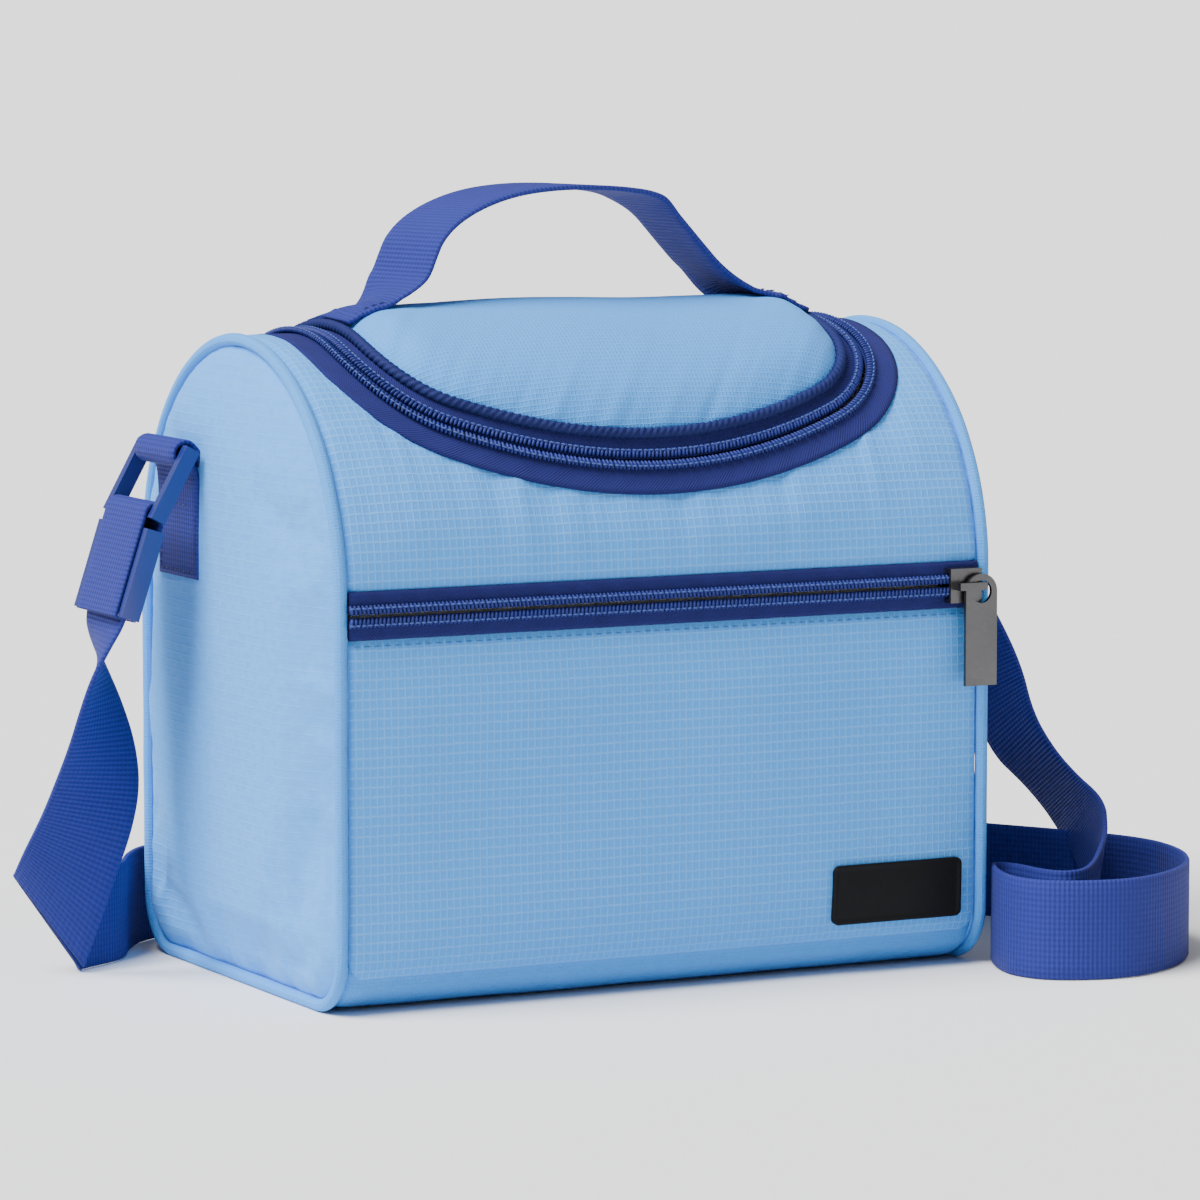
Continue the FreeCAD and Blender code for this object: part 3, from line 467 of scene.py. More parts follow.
def make_cross_ribs():
    """Ribs across a strap, broken into short floats as webbing is, with plain braided edges."""
    group, given, out = node_group(
        "cross_ribs",
        [("Vector", VECTOR, None), ("Rib Pitch", FLOAT, 0.0021), ("Float Pitch", FLOAT, 0.0028)],
        [("Height", FLOAT)])
    parts = group.nodes.new("ShaderNodeSeparateXYZ")
    group.links.new(given.outputs["Vector"], parts.inputs[0])
    row = math_node(group, "DIVIDE", parts.outputs[1], given.outputs["Rib Pitch"])
    rib = math_node(group, "SINE", math_node(group, "MULTIPLY", row, math.tau))
    column = math_node(group, "DIVIDE", parts.outputs[0], given.outputs["Float Pitch"])
    warp = math_node(group, "SINE", math_node(group, "MULTIPLY", column, math.tau))
    fine = noise_node(group, given.outputs["Vector"], scale=2400.0, detail=1.0)
    crowns = math_node(group, "MULTIPLY", rib, RIB_HEIGHT)
    mixed = math_node(group, "MULTIPLY_ADD", warp, FLOAT_HEIGHT, crowns)
    mixed = math_node(group, "MULTIPLY_ADD", fine, FIBRE_HEIGHT, mixed)
    group.links.new(math_node(group, "ADD", mixed, RIB_LIFT), out.inputs["Height"])
    return group


def make_yarn_grain():
    """Very fine crossed yarns, as the ground of any woven cloth."""
    group, given, out = node_group(
        "yarn_grain", [("Vector", VECTOR, None), ("Yarn Pitch", FLOAT, 0.0005)], [("Height", FLOAT)])
    parts = group.nodes.new("ShaderNodeSeparateXYZ")
    group.links.new(given.outputs["Vector"], parts.inputs[0])
    waves = []
    for axis in (0, 1):
        turns = math_node(group, "DIVIDE", parts.outputs[axis], given.outputs["Yarn Pitch"])
        waves.append(math_node(group, "SINE", math_node(group, "MULTIPLY", turns, math.pi)))
    crossed = math_node(group, "MULTIPLY", waves[0], waves[1])
    rough = noise_node(group, given.outputs["Vector"], scale=1500.0)
    group.links.new(math_node(group, "MULTIPLY_ADD", crossed, CROSSED_HEIGHT, rough), out.inputs["Height"])
    return group


def make_colour_drift():
    """Slow change between two colours, as dye and handling leave in cloth and plastic."""
    group, given, out = node_group(
        "colour_drift",
        [("Vector", VECTOR, None), ("Colour", COLOUR, (0.5, 0.5, 0.5, 1)),
         ("Other Colour", COLOUR, (0.6, 0.6, 0.6, 1)), ("Size", FLOAT, 18.0), ("Amount", FLOAT, 0.5)],
        [("Colour", COLOUR)])
    cloud = group.nodes.new("ShaderNodeTexNoise")
    cloud.inputs["Detail"].default_value = 3.0
    group.links.new(given.outputs["Vector"], cloud.inputs["Vector"])
    group.links.new(given.outputs["Size"], cloud.inputs["Scale"])
    share = math_node(group, "MULTIPLY", cloud.outputs["Fac"], given.outputs["Amount"])
    mix = group.nodes.new("ShaderNodeMix")
    mix.data_type = "RGBA"
    group.links.new(share, mix.inputs["Factor"])
    group.links.new(given.outputs["Colour"], mix.inputs["A"])
    group.links.new(given.outputs["Other Colour"], mix.inputs["B"])
    group.links.new(mix.outputs["Result"], out.inputs["Colour"])
    return group


RIPSTOP_GRID = make_ripstop_grid()
CROSS_RIBS = make_cross_ribs()
YARN_GRAIN = make_yarn_grain()
COLOUR_DRIFT = make_colour_drift()
print("shared effects:", len(bpy.data.node_groups))

# %% [markdown]
# ### Finishes
# Each finish is one Principled shader. Its plain numbers sit on the shader's own sockets; colour, roughness
# and the bump come from the groups. Cloth gets a soft sheen, moulded parts a clear gloss, and the metal a
# worn plating.


# %% Finish builder
class Finish:
    """A material being made: the shader, its tree and the vector its pattern follows."""

    def __init__(self, name, roughness, uses_uv=True, **sockets):
        self.material = bpy.data.materials.new(name)
        self.material.use_nodes = True
        self.tree = self.material.node_tree
        self.shader = self.tree.nodes["Principled BSDF"]
        self.shader.inputs["Roughness"].default_value = roughness
        for socket, value in sockets.items():
            self.shader.inputs[socket.replace("_", " ")].default_value = value
        source = self.tree.nodes.new("ShaderNodeTexCoord")
        self.vector = source.outputs["UV" if uses_uv else "Object"]
        self.place = source.outputs["Object"]

    def group(self, tree, vector=None, **values):
        """Places a shared effect with its own values."""
        node = self.tree.nodes.new("ShaderNodeGroup")
        node.node_tree = tree
        self.tree.links.new(vector or self.vector, node.inputs["Vector"])
        for socket, value in values.items():
            node.inputs[socket.replace("_", " ")].default_value = value
        return node.outputs[0]

    def colour(self, base, other, size=18.0, amount=0.6):
        """Colour that drifts between two tones over the object."""
        return self.group(COLOUR_DRIFT, self.place, Colour=(*base, 1), Other_Colour=(*other, 1),
                          Size=size, Amount=amount)

    def mix(self, share, a, b):
        """A colour between a and b; each is a socket or three numbers."""
        node = self.tree.nodes.new("ShaderNodeMix")
        node.data_type = "RGBA"
        self.tree.links.new(share, node.inputs["Factor"])
        for socket, value in (("A", a), ("B", b)):
            if isinstance(value, tuple):
                node.inputs[socket].default_value = (*value, 1)
            else:
                self.tree.links.new(value, node.inputs[socket])
        return node.outputs["Result"]

    def base(self, colour):
        """Puts a colour on the shader."""
        self.tree.links.new(colour, self.shader.inputs["Base Color"])

    def bump(self, height, depth, strength=1.0):
        """Raises the surface by height, from 0 to 1, times depth in metres."""
        node = self.tree.nodes.new("ShaderNodeBump")
        node.inputs["Strength"].default_value = strength
        node.inputs["Distance"].default_value = depth
        self.tree.links.new(height, node.inputs["Height"])
        self.tree.links.new(node.outputs[0], self.shader.inputs["Normal"])


# %% Light blue ripstop
SKY = (0.042, 0.283, 0.780)
SKY_PALE = (0.064, 0.320, 0.820)
SKY_LINE = (0.155, 0.440, 0.900)


LINE_SHOW = 0.75
YARN_SHOW = 0.22
LINE_RAISE = 0.7
YARN_RAISE = 0.35
CLOTH_RELIEF = 0.00022


def ripstop(name, across, along, share, lines=1.0):
    """The body cloth: a fine ground with lighter, raised ripstop yarns at the given pitches in metres."""
    finish = Finish(name, 0.8, Sheen_Weight=0.06, Sheen_Roughness=0.55, Specular_IOR_Level=0.12)
    grid = finish.group(RIPSTOP_GRID, Pitch_Across=across, Pitch_Along=along, Line_Share=share)
    grain = finish.group(YARN_GRAIN, Yarn_Pitch=0.00042)
    shown = math_node(finish.tree, "MULTIPLY", grid, LINE_SHOW * lines)
    ground = finish.colour(SKY, SKY_PALE)
    yarns = math_node(finish.tree, "MULTIPLY", grain, YARN_SHOW)
    finish.base(finish.mix(shown, finish.mix(yarns, ground, SKY_LINE), SKY_LINE))
    low = math_node(finish.tree, "MULTIPLY", grain, YARN_RAISE)
    finish.bump(math_node(finish.tree, "MULTIPLY_ADD", grid, LINE_RAISE, low), CLOTH_RELIEF)
    return finish.material


NO_LINES = 2.0
BODY_CLOTH = ripstop("ripstop_body", across=0.0023, along=0.0030, share=0.24)
SIDE_CLOTH = ripstop("ripstop_side", across=NO_LINES, along=0.0028, share=0.34, lines=0.6)
LID_CLOTH = ripstop("ripstop_lid", across=0.0013, along=0.0015, share=0.30, lines=0.45)
BASE_CLOTH = ripstop("ripstop_base", across=0.0013, along=0.0013, share=0.20, lines=0.2)
PIPING_CLOTH = ripstop("piping_cloth", across=0.0012, along=0.0010, share=0.28, lines=0.35)


# %% Webbing, tapes and thread
ROYAL = (0.016, 0.022, 0.150)
ROYAL_PALE = (0.034, 0.044, 0.270)
NAVY = (0.010, 0.012, 0.085)
NAVY_PALE = (0.026, 0.030, 0.170)


CROWN_SHOW = 0.6
WEBBING_RELIEF = 0.0003
TWILL_PITCH = 0.0011
TWILL_RAISE = 0.3
TWILL_SHOW = 0.2
TWILL_MIDDLE = 0.3
TAPE_RELIEF = 0.0002


def make_webbing():
    """Royal blue ribbed webbing: pale rib crowns, dark between, dull with a soft sheen."""
    finish = Finish("ribbed_webbing", 0.7, Sheen_Weight=0.03, Sheen_Roughness=0.4, Specular_IOR_Level=0.12)
    ribs = finish.group(CROSS_RIBS, Rib_Pitch=0.0015, Float_Pitch=0.0018)
    ground = finish.colour(ROYAL, ROYAL_PALE, size=30.0, amount=0.3)
    finish.base(finish.mix(math_node(finish.tree, "MULTIPLY", ribs, CROWN_SHOW), ground, ROYAL_PALE))
    finish.bump(ribs, WEBBING_RELIEF)
    return finish.material


def make_tape():
    """Navy zip tape with its twill running slantwise."""
    finish = Finish("zip_tape", 0.8, Sheen_Weight=0.02, Specular_IOR_Level=0.1)
    parts = finish.tree.nodes.new("ShaderNodeSeparateXYZ")
    finish.tree.links.new(finish.vector, parts.inputs[0])
    slant = math_node(finish.tree, "ADD", parts.outputs[0], parts.outputs[1])
    wave = math_node(finish.tree, "SINE", math_node(finish.tree, "MULTIPLY", slant, math.tau / TWILL_PITCH))
    grain = finish.group(YARN_GRAIN, Yarn_Pitch=0.0005)
    height = math_node(finish.tree, "MULTIPLY_ADD", wave, TWILL_RAISE, grain)
    share = math_node(finish.tree, "MULTIPLY_ADD", wave, TWILL_SHOW, TWILL_MIDDLE)
    finish.base(finish.mix(share, finish.colour(NAVY, NAVY_PALE, size=40.0, amount=0.4), NAVY_PALE))
    finish.bump(height, TAPE_RELIEF)
    return finish.material


ROUGHNESS_SPREAD = 0.16


def make_plain(name, low, high, roughness, depth, scale=900.0, **sockets):
    """A finish with slow colour drift and fine unevenness of a given depth and scale."""
    finish = Finish(name, roughness, False, **sockets)
    finish.base(finish.colour(low, high, size=60.0, amount=0.7))
    grain = noise_node(finish.tree, finish.vector, scale, detail=3.0)
    finish.bump(grain, depth)
    spread = math_node(finish.tree, "MULTIPLY_ADD", grain, ROUGHNESS_SPREAD, roughness - ROUGHNESS_SPREAD / 2)
    finish.tree.links.new(spread, finish.shader.inputs["Roughness"])
    return finish.material


WEBBING = make_webbing()
TAPE = make_tape()
THREAD_GRAIN = {"depth": 0.00008, "scale": 2500.0}
COIL = make_plain("nylon_coil", (0.014, 0.022, 0.150), (0.024, 0.036, 0.210), 0.5, depth=0.00003,
                  Specular_IOR_Level=0.25)
# Thread on the zip coils, paler than the coil: the thread's own colour plus a painted highlight along each
# coil row.
COIL_THREAD_HIGHLIGHT = make_plain("zip_thread_painted_highlight", (0.045, 0.075, 0.26), (0.075, 0.12, 0.34), 0.6, **THREAD_GRAIN,
                    Specular_IOR_Level=0.2)
SKY_THREAD = make_plain("sky_thread", (0.025, 0.13, 0.42), (0.05, 0.20, 0.55), 0.7, **THREAD_GRAIN)
ROYAL_THREAD = make_plain("royal_thread", (0.012, 0.022, 0.13), (0.026, 0.044, 0.20), 0.6, **THREAD_GRAIN)
ROPE = make_plain("rope_edge", (0.010, 0.014, 0.085), (0.022, 0.032, 0.14), 0.7, depth=0.00012, scale=1800.0,
                  Specular_IOR_Level=0.12)
MOULDED = make_plain("moulded_blue", (0.011, 0.020, 0.150), (0.016, 0.029, 0.19), 0.24, depth=0.00002,
                     scale=400.0, Coat_Weight=0.35, Coat_Roughness=0.12)
LABEL = make_plain("moulded_label", (0.004, 0.004, 0.005), (0.008, 0.008, 0.009), 0.55, depth=0.00005,
                   scale=1600.0, Specular_IOR_Level=0.12)
LINER = make_plain("liner_film", (0.70, 0.72, 0.74), (0.82, 0.84, 0.86), 0.34, depth=0.0006, scale=90.0,
                   Coat_Weight=0.2)
GUNMETAL = make_plain("gunmetal", (0.085, 0.083, 0.087), (0.15, 0.147, 0.15), 0.3, depth=0.00004, scale=700.0,
                      Metallic=0.95)
print("finishes:", len(bpy.data.materials))

# %% [markdown]
# ## Shoulder strap
# One length of 32 mm webbing, just under a metre, hangs from the right ring, lies on its edge in an open
# loop on the table, passes behind the bag, is folded over at a slant and hangs from the adjuster at the
# left. It is a spline through chosen points; a second spline carries one edge of the webbing, so the strap
# can twist where it turns.

# %% Route of the strap, in millimetres
STRAP_RIGHT = (
    ((141.6, 24.0, 143.5), (0, -1, 0)), ((150.5, 21.5, 124.0), (0.12, -1, 0.10)),
    ((160.0, 16.5, 103.0), (0.22, -1, 0.24)), ((168.5, 10.0, 81.5), (0.16, -0.93, 0.36)),
    ((172.5, 3.0, 62.5), (-0.02, -0.84, 0.54)), ((177.0, -6.0, 52.5), (-0.16, -0.9, 0.42)),
    ((179.5, -16.5, 45.0), (-0.22, -0.9, 0.38)), ((178.5, -30.0, 39.4), (-0.22, -0.86, 0.42)),
    ((175.0, -43.0, 34.8), (-0.2, -0.76, 0.52)), ((170.5, -53.5, 30.0), (-0.16, -0.62, 0.72)),
    ((165.0, -64.5, 25.5), (-0.12, -0.45, 0.8)), ((156.5, -77.0, 20.0), (0, -0.15, 1)),
    ((148.0, -89.0, 17.0), (0, 0, 1)), ((138.5, -98.0, 16.2), (0, 0, 1)))
STRAP_FLOOR = (
    (130.5, -98.5), (126.5, -90.0), (126.3, -78.0), (121.4, -70.0), (116.8, -78.5),
    (112.4, -90.0), (110.8, -101.5), (115.0, -112.5), (127.0, -119.0), (142.0, -121.5), (158.0, -115.5),
    (173.0, -104.0), (185.0, -88.0), (192.0, -69.0), (193.5, -50.0), (187.0, -32.0),
    (175.0, -12.0), (162.0, 8.0), (148.0, 34.0), (134.0, 62.0), (116.0, 90.0),
    (86.0, 102.0), (44.0, 101.0), (0.0, 97.0), (-44.0, 99.0), (-84.0, 99.0),
    (-110.0, 90.0), (-123.0, 73.0), (-131.0, 56.0), (-148.0, 46.0))
STRAP_LEFT = (
    ((-162.2, 42.0, 17.2), (0.57, -0.15, -0.82)), ((-160.2, 37.6, 26.5), (0.74, -0.02, -0.70)),
    ((-156.8, 34.0, 38.5), (0.90, 0.02, -0.46)), ((-153.0, 31.0, 50.0), (0.97, 0.05, -0.24)),
    ((-150.2, 29.0, 62.0), (0.95, 0.18, -0.12)), ((-149.4, 27.2, 74.0), (0.88, 0.44, -0.05)),
    ((-150.2, 25.8, 86.0), (0.74, 0.68, 0)), ((-151.2, 24.8, 98.0), (0.5, 0.88, 0)),
    ((-150.9, 24.3, 107.5), (0.22, 1, 0)), ((-149.4, 24.0, 115.2), (0, 1, 0)),
    ((-147.2, 24.0, 121.5), (0, 1, 0)))
STRAP_FOLD = (((-156.0, 44.2, 16.2), (-0.22, 0.06, 0.98)), ((-162.4, 42.9, 16.6), (-0.55, 0.15, 0.84)))
FLOOR_MIDDLE = 16.2
STRAP_CUT_Y = -62.0


# %% Splines through the route
def spline_points(name, controls, resolution=10):
    """Points in mm along a NURBS curve of order 3 through its end controls."""
    curve = bpy.data.curves.new(name, "CURVE")
    curve.dimensions = "3D"
    curve.resolution_u = resolution
    spline = curve.splines.new("NURBS")
    spline.points.add(len(controls) - 1)
    for spot, control in zip(spline.points, controls):
        spot.co = (*(Vector(control) * MM), 1.0)
    spline.order_u = 3
    spline.use_endpoint_u = True
    holder = bpy.data.objects.new(name, curve)
    mesh = bpy.data.meshes.new_from_object(holder)
    found = [v.co / MM for v in mesh.vertices]
    bpy.data.objects.remove(holder)
    bpy.data.meshes.remove(mesh)
    bpy.data.curves.remove(curve)
    return found


def webbing_stations(name, rows):
    """Stations for webbing whose rows are (middle, direction of its width), cut square or slanted."""
    edges = []
    for k, (point, across) in enumerate(rows):
        before, after = Vector(rows[max(k - 1, 0)][0]), Vector(rows[min(k + 1, len(rows) - 1)][0])
        along = (after - before).normalized()
        wide = Vector(across)
        edges.append(Vector(point) + wide * (WEB_WIDE / 2 / (wide - along * wide.dot(along)).length))
    middles = spline_points(name + "_line", [row[0] for row in rows])
    rims = spline_points(name + "_rim", edges)
    found = []
    for k, (middle, rim) in enumerate(zip(middles, rims)):
        along = middles[min(k + 1, len(middles) - 1)] - middles[max(k - 1, 0)]
        side = (rim - middle) / (WEB_WIDE / 2)
        found.append((middle, side, along.cross(side).normalized()))
    return found


WEB_SECTION = flat_section(WEB_WIDE, WEB_THICK)
floor_rows = [*STRAP_RIGHT, *(((x, y, FLOOR_MIDDLE), (0, 0, 1)) for x, y in STRAP_FLOOR), *STRAP_FOLD]
run_stations = webbing_stations("strap_run", floor_rows)
hang_stations = webbing_stations("strap_left", STRAP_LEFT)
cut = next(k for k, station in enumerate(run_stations) if station[0].y < STRAP_CUT_Y)

# %% The strap and its two hanging ends
strap = piece("strap_run", sweep(run_stations[cut:], WEB_SECTION), WEBBING, "bag",
              ("strap_floor", "strap_fold"))
hang_right = piece("strap_right_end", sweep(run_stations[:cut + 1], WEB_SECTION), WEBBING, None,
                   ("strap_hang_right",))
hang_left = piece("strap_left_end", sweep(hang_stations, WEB_SECTION), WEBBING, None,
                  ("strap_hang_left",))
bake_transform(hang_right)
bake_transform(hang_left)

# %% [markdown]
# ## Side panels
# Each end of the bag is an arch of cloth over foam. It is sewn down all round, so the cloth dips into the
# seam and swells by 8 mm in the middle. A grid is trimmed to the arch, then pushed out by how far each
# point is from the seam. Small gathers run in from the seam, because the piping takes up more cloth than it
# should.

# %% Side panels
SIDE_SWELL = ((0.0, 110.8), (1.5, 112.2), (4.0, 113.9), (8.0, 115.9), (14.0, 117.6), (24.0, 119.4),
              (36.0, 120.5), (60.0, 121.2), (90.0, 121.3))
SIDE_MIDDLE_Z = 112.0
SIDE_SAG = 0.9
SAG_START = 25.0
SIDE_STEP = 2.6
SIDE_THICK = 1.2
SEAM_HOLD = 2.5
FOLD_RATE = 0.11
FINE_FOLD_RATE = 0.27
FINE_FOLDS = 0.6


def table_value(table, at):
    """The value between the rows of a small table."""
    for (a, low), (b, high) in zip(table, table[1:]):
        if at <= b:
            return low + (high - low) * (at - a) / (b - a)
    return table[-1][1]


def gather(run, depth, reach, seed, size):
    """Small folds that run in from a seam and fade over reach mm."""
    fade = math.exp(-max(depth, 0.0) / reach) * smoothstep(depth / SEAM_HOLD)
    folds = noise.noise(Vector((run * FOLD_RATE, seed, 0.0)))
    folds += FINE_FOLDS * noise.noise(Vector((run * FINE_FOLD_RATE, seed + 7.0, 0.0)))
    return size * fade * folds


def sag(u, v, seed, size, wave=0.013):
    """Slow unevenness of padded cloth."""
    return size * noise.noise(Vector((u * wave, v * wave, seed)))


def side_place(sign):
    """Where a side panel's cloth lies, for its side of the bag."""
    def place(y, z):
        depth = inset_of(y, z) - PIPE_R
        run = math.atan2(z - SIDE_MIDDLE_Z, y) * ARCH_R
        x = table_value(SIDE_SWELL, depth)
        x += gather(run, depth, reach=9.0, seed=sign * 3.0, size=1.3)
        x += sag(y, z, seed=11.0 + sign, size=SIDE_SAG * smoothstep(depth / SAG_START))
        return Vector((sign * x, y, z))
    return place


for side, sign in SIDES:
    bm = trimmed((-ARCH_R, 0.0), (ARCH_R, ARCH_Z + ARCH_R), SIDE_STEP, lambda y, z: PIPE_R - inset_of(y, z),
                 side_place(sign))
    if sign < 0:
        bmesh.ops.reverse_faces(bm, faces=bm.faces)
    panel = piece("side_cloth_" + side, bm, SIDE_CLOTH, "bag", ("side_panel_" + side,))
    settle(panel, slack=0.012, limit=2.5)
    finish_cloth(panel, SIDE_THICK)

# %% [markdown]
# ## Piping
# A cord wrapped in the body cloth and caught in the seam between the side and the gusset, all the way
# round. It is a closed sweep, and it wanders a little as a hand-fed cord does.

# %% Piping round both arches
PIPE_STEPS = 260
PIPE_WOBBLE = 0.18
WOBBLE_RATE = 0.05
for side, sign in SIDES:
    stations = []
    for k in range(PIPE_STEPS):
        run = 2 * TOP_RUN * k / PIPE_STEPS
        y, z, ny, nz = outline(run)
        wobble = PIPE_WOBBLE * noise.noise(Vector((run * WOBBLE_RATE, sign, 0.0)))
        middle = on_arch(sign * SEAM_X, run, PIPE_R) + Vector((wobble, 0, 0))
        stations.append((middle, Vector((sign, 0, 0)), Vector((0, ny, nz))))
    bm = sweep(stations, round_section(PIPE_R), ring=True)
    piece("piping_cord_" + side, bm, PIPING_CLOTH, "bag", ("piping_" + side,))

# %% [markdown]
# ## Lid outline
# The zip runs down both ends and round the front of the lid. Seen square on, with the bag tipped 60
# degrees, that line is two straight legs, two round corners and one shallow arc. Everything near the zip is
# measured by its gap from this line: below 0 is lid, above 0 is bag.

# %% Gap from the zip line
TILT = math.radians(LID_TILT)
HINGE_TURN = math.radians(-33.0)
TAIL_TURN = math.radians(TAIL_ANGLE)
LID_START = math.radians(-30.0)
TAPE_R = 77.2
CORNER_X = LID_LEG - LID_CORNER_R
CORNER_Y = LID_FRONT_R - math.sqrt((LID_FRONT_R - LID_CORNER_R) ** 2 - CORNER_X ** 2)


def zip_gap(x, turn, radius=TAPE_R):
    """Signed gap from the zip line at x and an angle from the top of the arch, positive to the front."""
    if turn < -TILT:
        return abs(x) - LID_LEG
    y = radius * math.cos(turn + TILT)
    to_leg = abs(x) - CORNER_X
    to_arc = math.hypot(x, y - LID_FRONT_R) - (LID_FRONT_R - LID_CORNER_R)
    if to_leg <= 0 or to_arc <= 0:
        beyond = max(to_leg, to_arc)
        if y >= CORNER_Y or to_leg <= 0:
            return beyond - LID_CORNER_R
    if y > CORNER_Y:
        return to_leg - LID_CORNER_R
    share = abs(x) * (LID_FRONT_R - LID_CORNER_R) / max(math.hypot(x, y - LID_FRONT_R), TINY)
    if share < CORNER_X:
        return to_arc - LID_CORNER_R
    return math.hypot(to_leg, y - CORNER_Y) - LID_CORNER_R


def turn_of(run):
    """The angle from the top of the arch, positive to the front, of a run along the outline."""
    return (TOP_RUN - run) / ARCH_R


def gap_on_arch(x, run):
    """The zip gap anywhere on the outline; far away on the walls and base."""
    turn = turn_of(run)
    if abs(turn) > math.pi / 2:
        return ARCH_R
    return zip_gap(x, turn)


print("gap at the front of the lid:", round(zip_gap(0.0, math.radians(60.0)), 2))

# %% [markdown]
# ## Body cloth
# The gusset is four panels: the base, the front pocket, the yoke that goes over the top and the back. They
# share one rule for where the cloth lies, so their edges meet: it dips into every seam, swells a little
# between seams, and has small gathers beside the piping.

# %% Where the body cloth lies
EDGE_X = 111.7
PIPE_EASE, SEAM_EASE, ZIP_EASE, FOOT_EASE = 26.0, 22.0, 18.0, 30.0
PIPE_DIP, PIPE_DIP_REACH = 2.4, 1.3
SEAM_DIP, SEAM_DIP_REACH = 1.3, 0.9
WALL_SWELL = 1.5
SEAM_FREE, FOOT_FREE = 6.0, 20.0
CLOTH_THICK = 1.0
HINGE_RUN = TOP_RUN - HINGE_TURN * ARCH_R
SEAM_RUNS = [run_at_front(z) for z in (BASE_SEAM, POCKET_TOP, ZIP_TOP)]
SEAM_RUNS += [HINGE_RUN, 2 * TOP_RUN - run_at_front(BASE_SEAM)]


def wall_point(x, run, lift=0.0):
    """The outside of the body cloth, lift mm off it."""
    depth = EDGE_X - abs(x)
    seam = min(abs(run - s) for s in SEAM_RUNS)
    band = max(gap_on_arch(x, run) - BAND, 0.0)
    free = smoothstep(depth / PIPE_EASE) * smoothstep(seam / SEAM_EASE) * smoothstep(band / ZIP_EASE)
    height = outline(run)[1]
    inset = FABRIC_INSET + PIPE_DIP * math.exp(-depth / PIPE_DIP_REACH)
    inset += SEAM_DIP * math.exp(-seam / SEAM_DIP_REACH)
    inset -= WALL_SWELL * free * smoothstep(height / FOOT_EASE)
    loose = smoothstep(seam / SEAM_FREE)
    beside_piping = gather(run, depth, reach=8.0, seed=21.0 + (x > 0), size=0.75)
    inset -= beside_piping * smoothstep(height / FOOT_FREE) * loose
    below_zip = gather(x, band + 0.4, reach=14.0, seed=31.0, size=1.5)
    inset -= below_zip * smoothstep(depth / FOOT_FREE) * loose
    inset -= sag(x, run, seed=5.0, size=1.1, wave=0.02) * free
    return on_arch(x, run, inset - lift)


def body_panel(name, low, high, cloth, stands_for, outside=None, step=2.4, place=wall_point):
    """One panel of the gusset between two runs of the outline."""
    bm = trimmed((-EDGE_X, low), (EDGE_X, high), step, outside, place)
    return finish_cloth(piece(name, bm, cloth, "bag", stands_for), CLOTH_THICK)


# %% Base, pocket, yoke and back
FOOT_RUN = run_at_front(BASE_SEAM)
POCKET_RUN = run_at_front(POCKET_TOP)
YOKE_RUN = run_at_front(ZIP_TOP)
BACK_FOOT = 2 * TOP_RUN - FOOT_RUN
POCKET_CORNER = 9.0
POCKET_GAP = 0.6
BASE_TUCK = 14.0
TUCK_DEPTH = 0.9
TUCK_EASE = 2.0
YOKE_LAP = 0.4


def pocket_outside(x, run):
    """The pocket's outline: square at the top and round at its lower corners."""
    dx = abs(x) - (EDGE_X - POCKET_GAP - POCKET_CORNER)
    dy = FOOT_RUN + POCKET_CORNER - run
    if dx > 0 and dy > 0:
        return math.hypot(dx, dy) - POCKET_CORNER
    return max(dx, dy) - POCKET_CORNER


def tucked(x, run):
    """The base cloth, which goes up under the pocket's lower edge."""
    return wall_point(x, run, -TUCK_DEPTH * smoothstep((run - FOOT_RUN + 1.0) / TUCK_EASE))


body_panel("base_cloth_front", 0.0, FOOT_RUN + BASE_TUCK, BASE_CLOTH, ("bottom_panel",), place=tucked)
body_panel("base_cloth_back", BACK_FOOT, 2 * TOP_RUN, BASE_CLOTH, ())
body_panel("pocket_cloth", FOOT_RUN, POCKET_RUN, BODY_CLOTH, ("pocket_panel", "front_foam"), pocket_outside)
body_panel("yoke_cloth", YOKE_RUN, HINGE_RUN, BODY_CLOTH, ("front_yoke", "top_foam"),
           lambda x, run: BAND - YOKE_LAP - gap_on_arch(x, run), step=2.0)
body_panel("back_cloth", HINGE_RUN, BACK_FOOT, BODY_CLOTH, ("back_panel", "back_foam"))

# %% [markdown]
# ## Zips
# A coil zip is two woven tapes with a nylon coil sewn to each edge. The coil is made tooth by tooth from
# one small rounded shape, with the sewing thread that holds it as a second row on top. That row is coloured
# paler than the coil, so it is partly the thread and partly a painted highlight along the coil. The lid half
# of the zip moves with the lid, so each half is its own piece.

# %% The line of the lid zip
COIL_PITCH = 1.35
DENSE = 0.25
DUE_SLACK = 1e-9
HALF = 0.5


def zip_spots():
    """The zip line from the left tail to the right tail as (x, turn or None, y, nx, ny) at a fine step."""
    front = LID_FRONT_R - LID_CORNER_R
    corner_span = math.acos(CORNER_X / front)
    leg_turn = math.acos(CORNER_Y / TAPE_R) - TILT
    spots = []
    legs = round((leg_turn - TAIL_TURN) * TAPE_R / DENSE)
    for k in range(legs):
        spots.append((LID_LEG, TAIL_TURN + (leg_turn - TAIL_TURN) * k / legs, 0.0, 1.0, 0.0))
    corners = round(corner_span * LID_CORNER_R / DENSE)
    for k in range(corners):
        a = -corner_span * k / corners
        spots.append((CORNER_X + LID_CORNER_R * math.cos(a), None, CORNER_Y + LID_CORNER_R * math.sin(a),
                      math.cos(a), math.sin(a)))
    half_span = math.pi / 2 - corner_span
    arcs = round(half_span * LID_FRONT_R / DENSE)
    for k in range(arcs + 1):
        a = -math.pi / 2 + half_span * (1 - k / arcs)
        nx, ny = math.cos(a), math.sin(a)
        spots.append((LID_FRONT_R * nx, None, LID_FRONT_R * (1 + ny), nx, ny))
    mirrored = [(-x, turn, y, -nx, ny) for x, turn, y, nx, ny in reversed(spots[:-1])]
    return (spots + mirrored)[::-1]


ZIP_SPOTS = zip_spots()


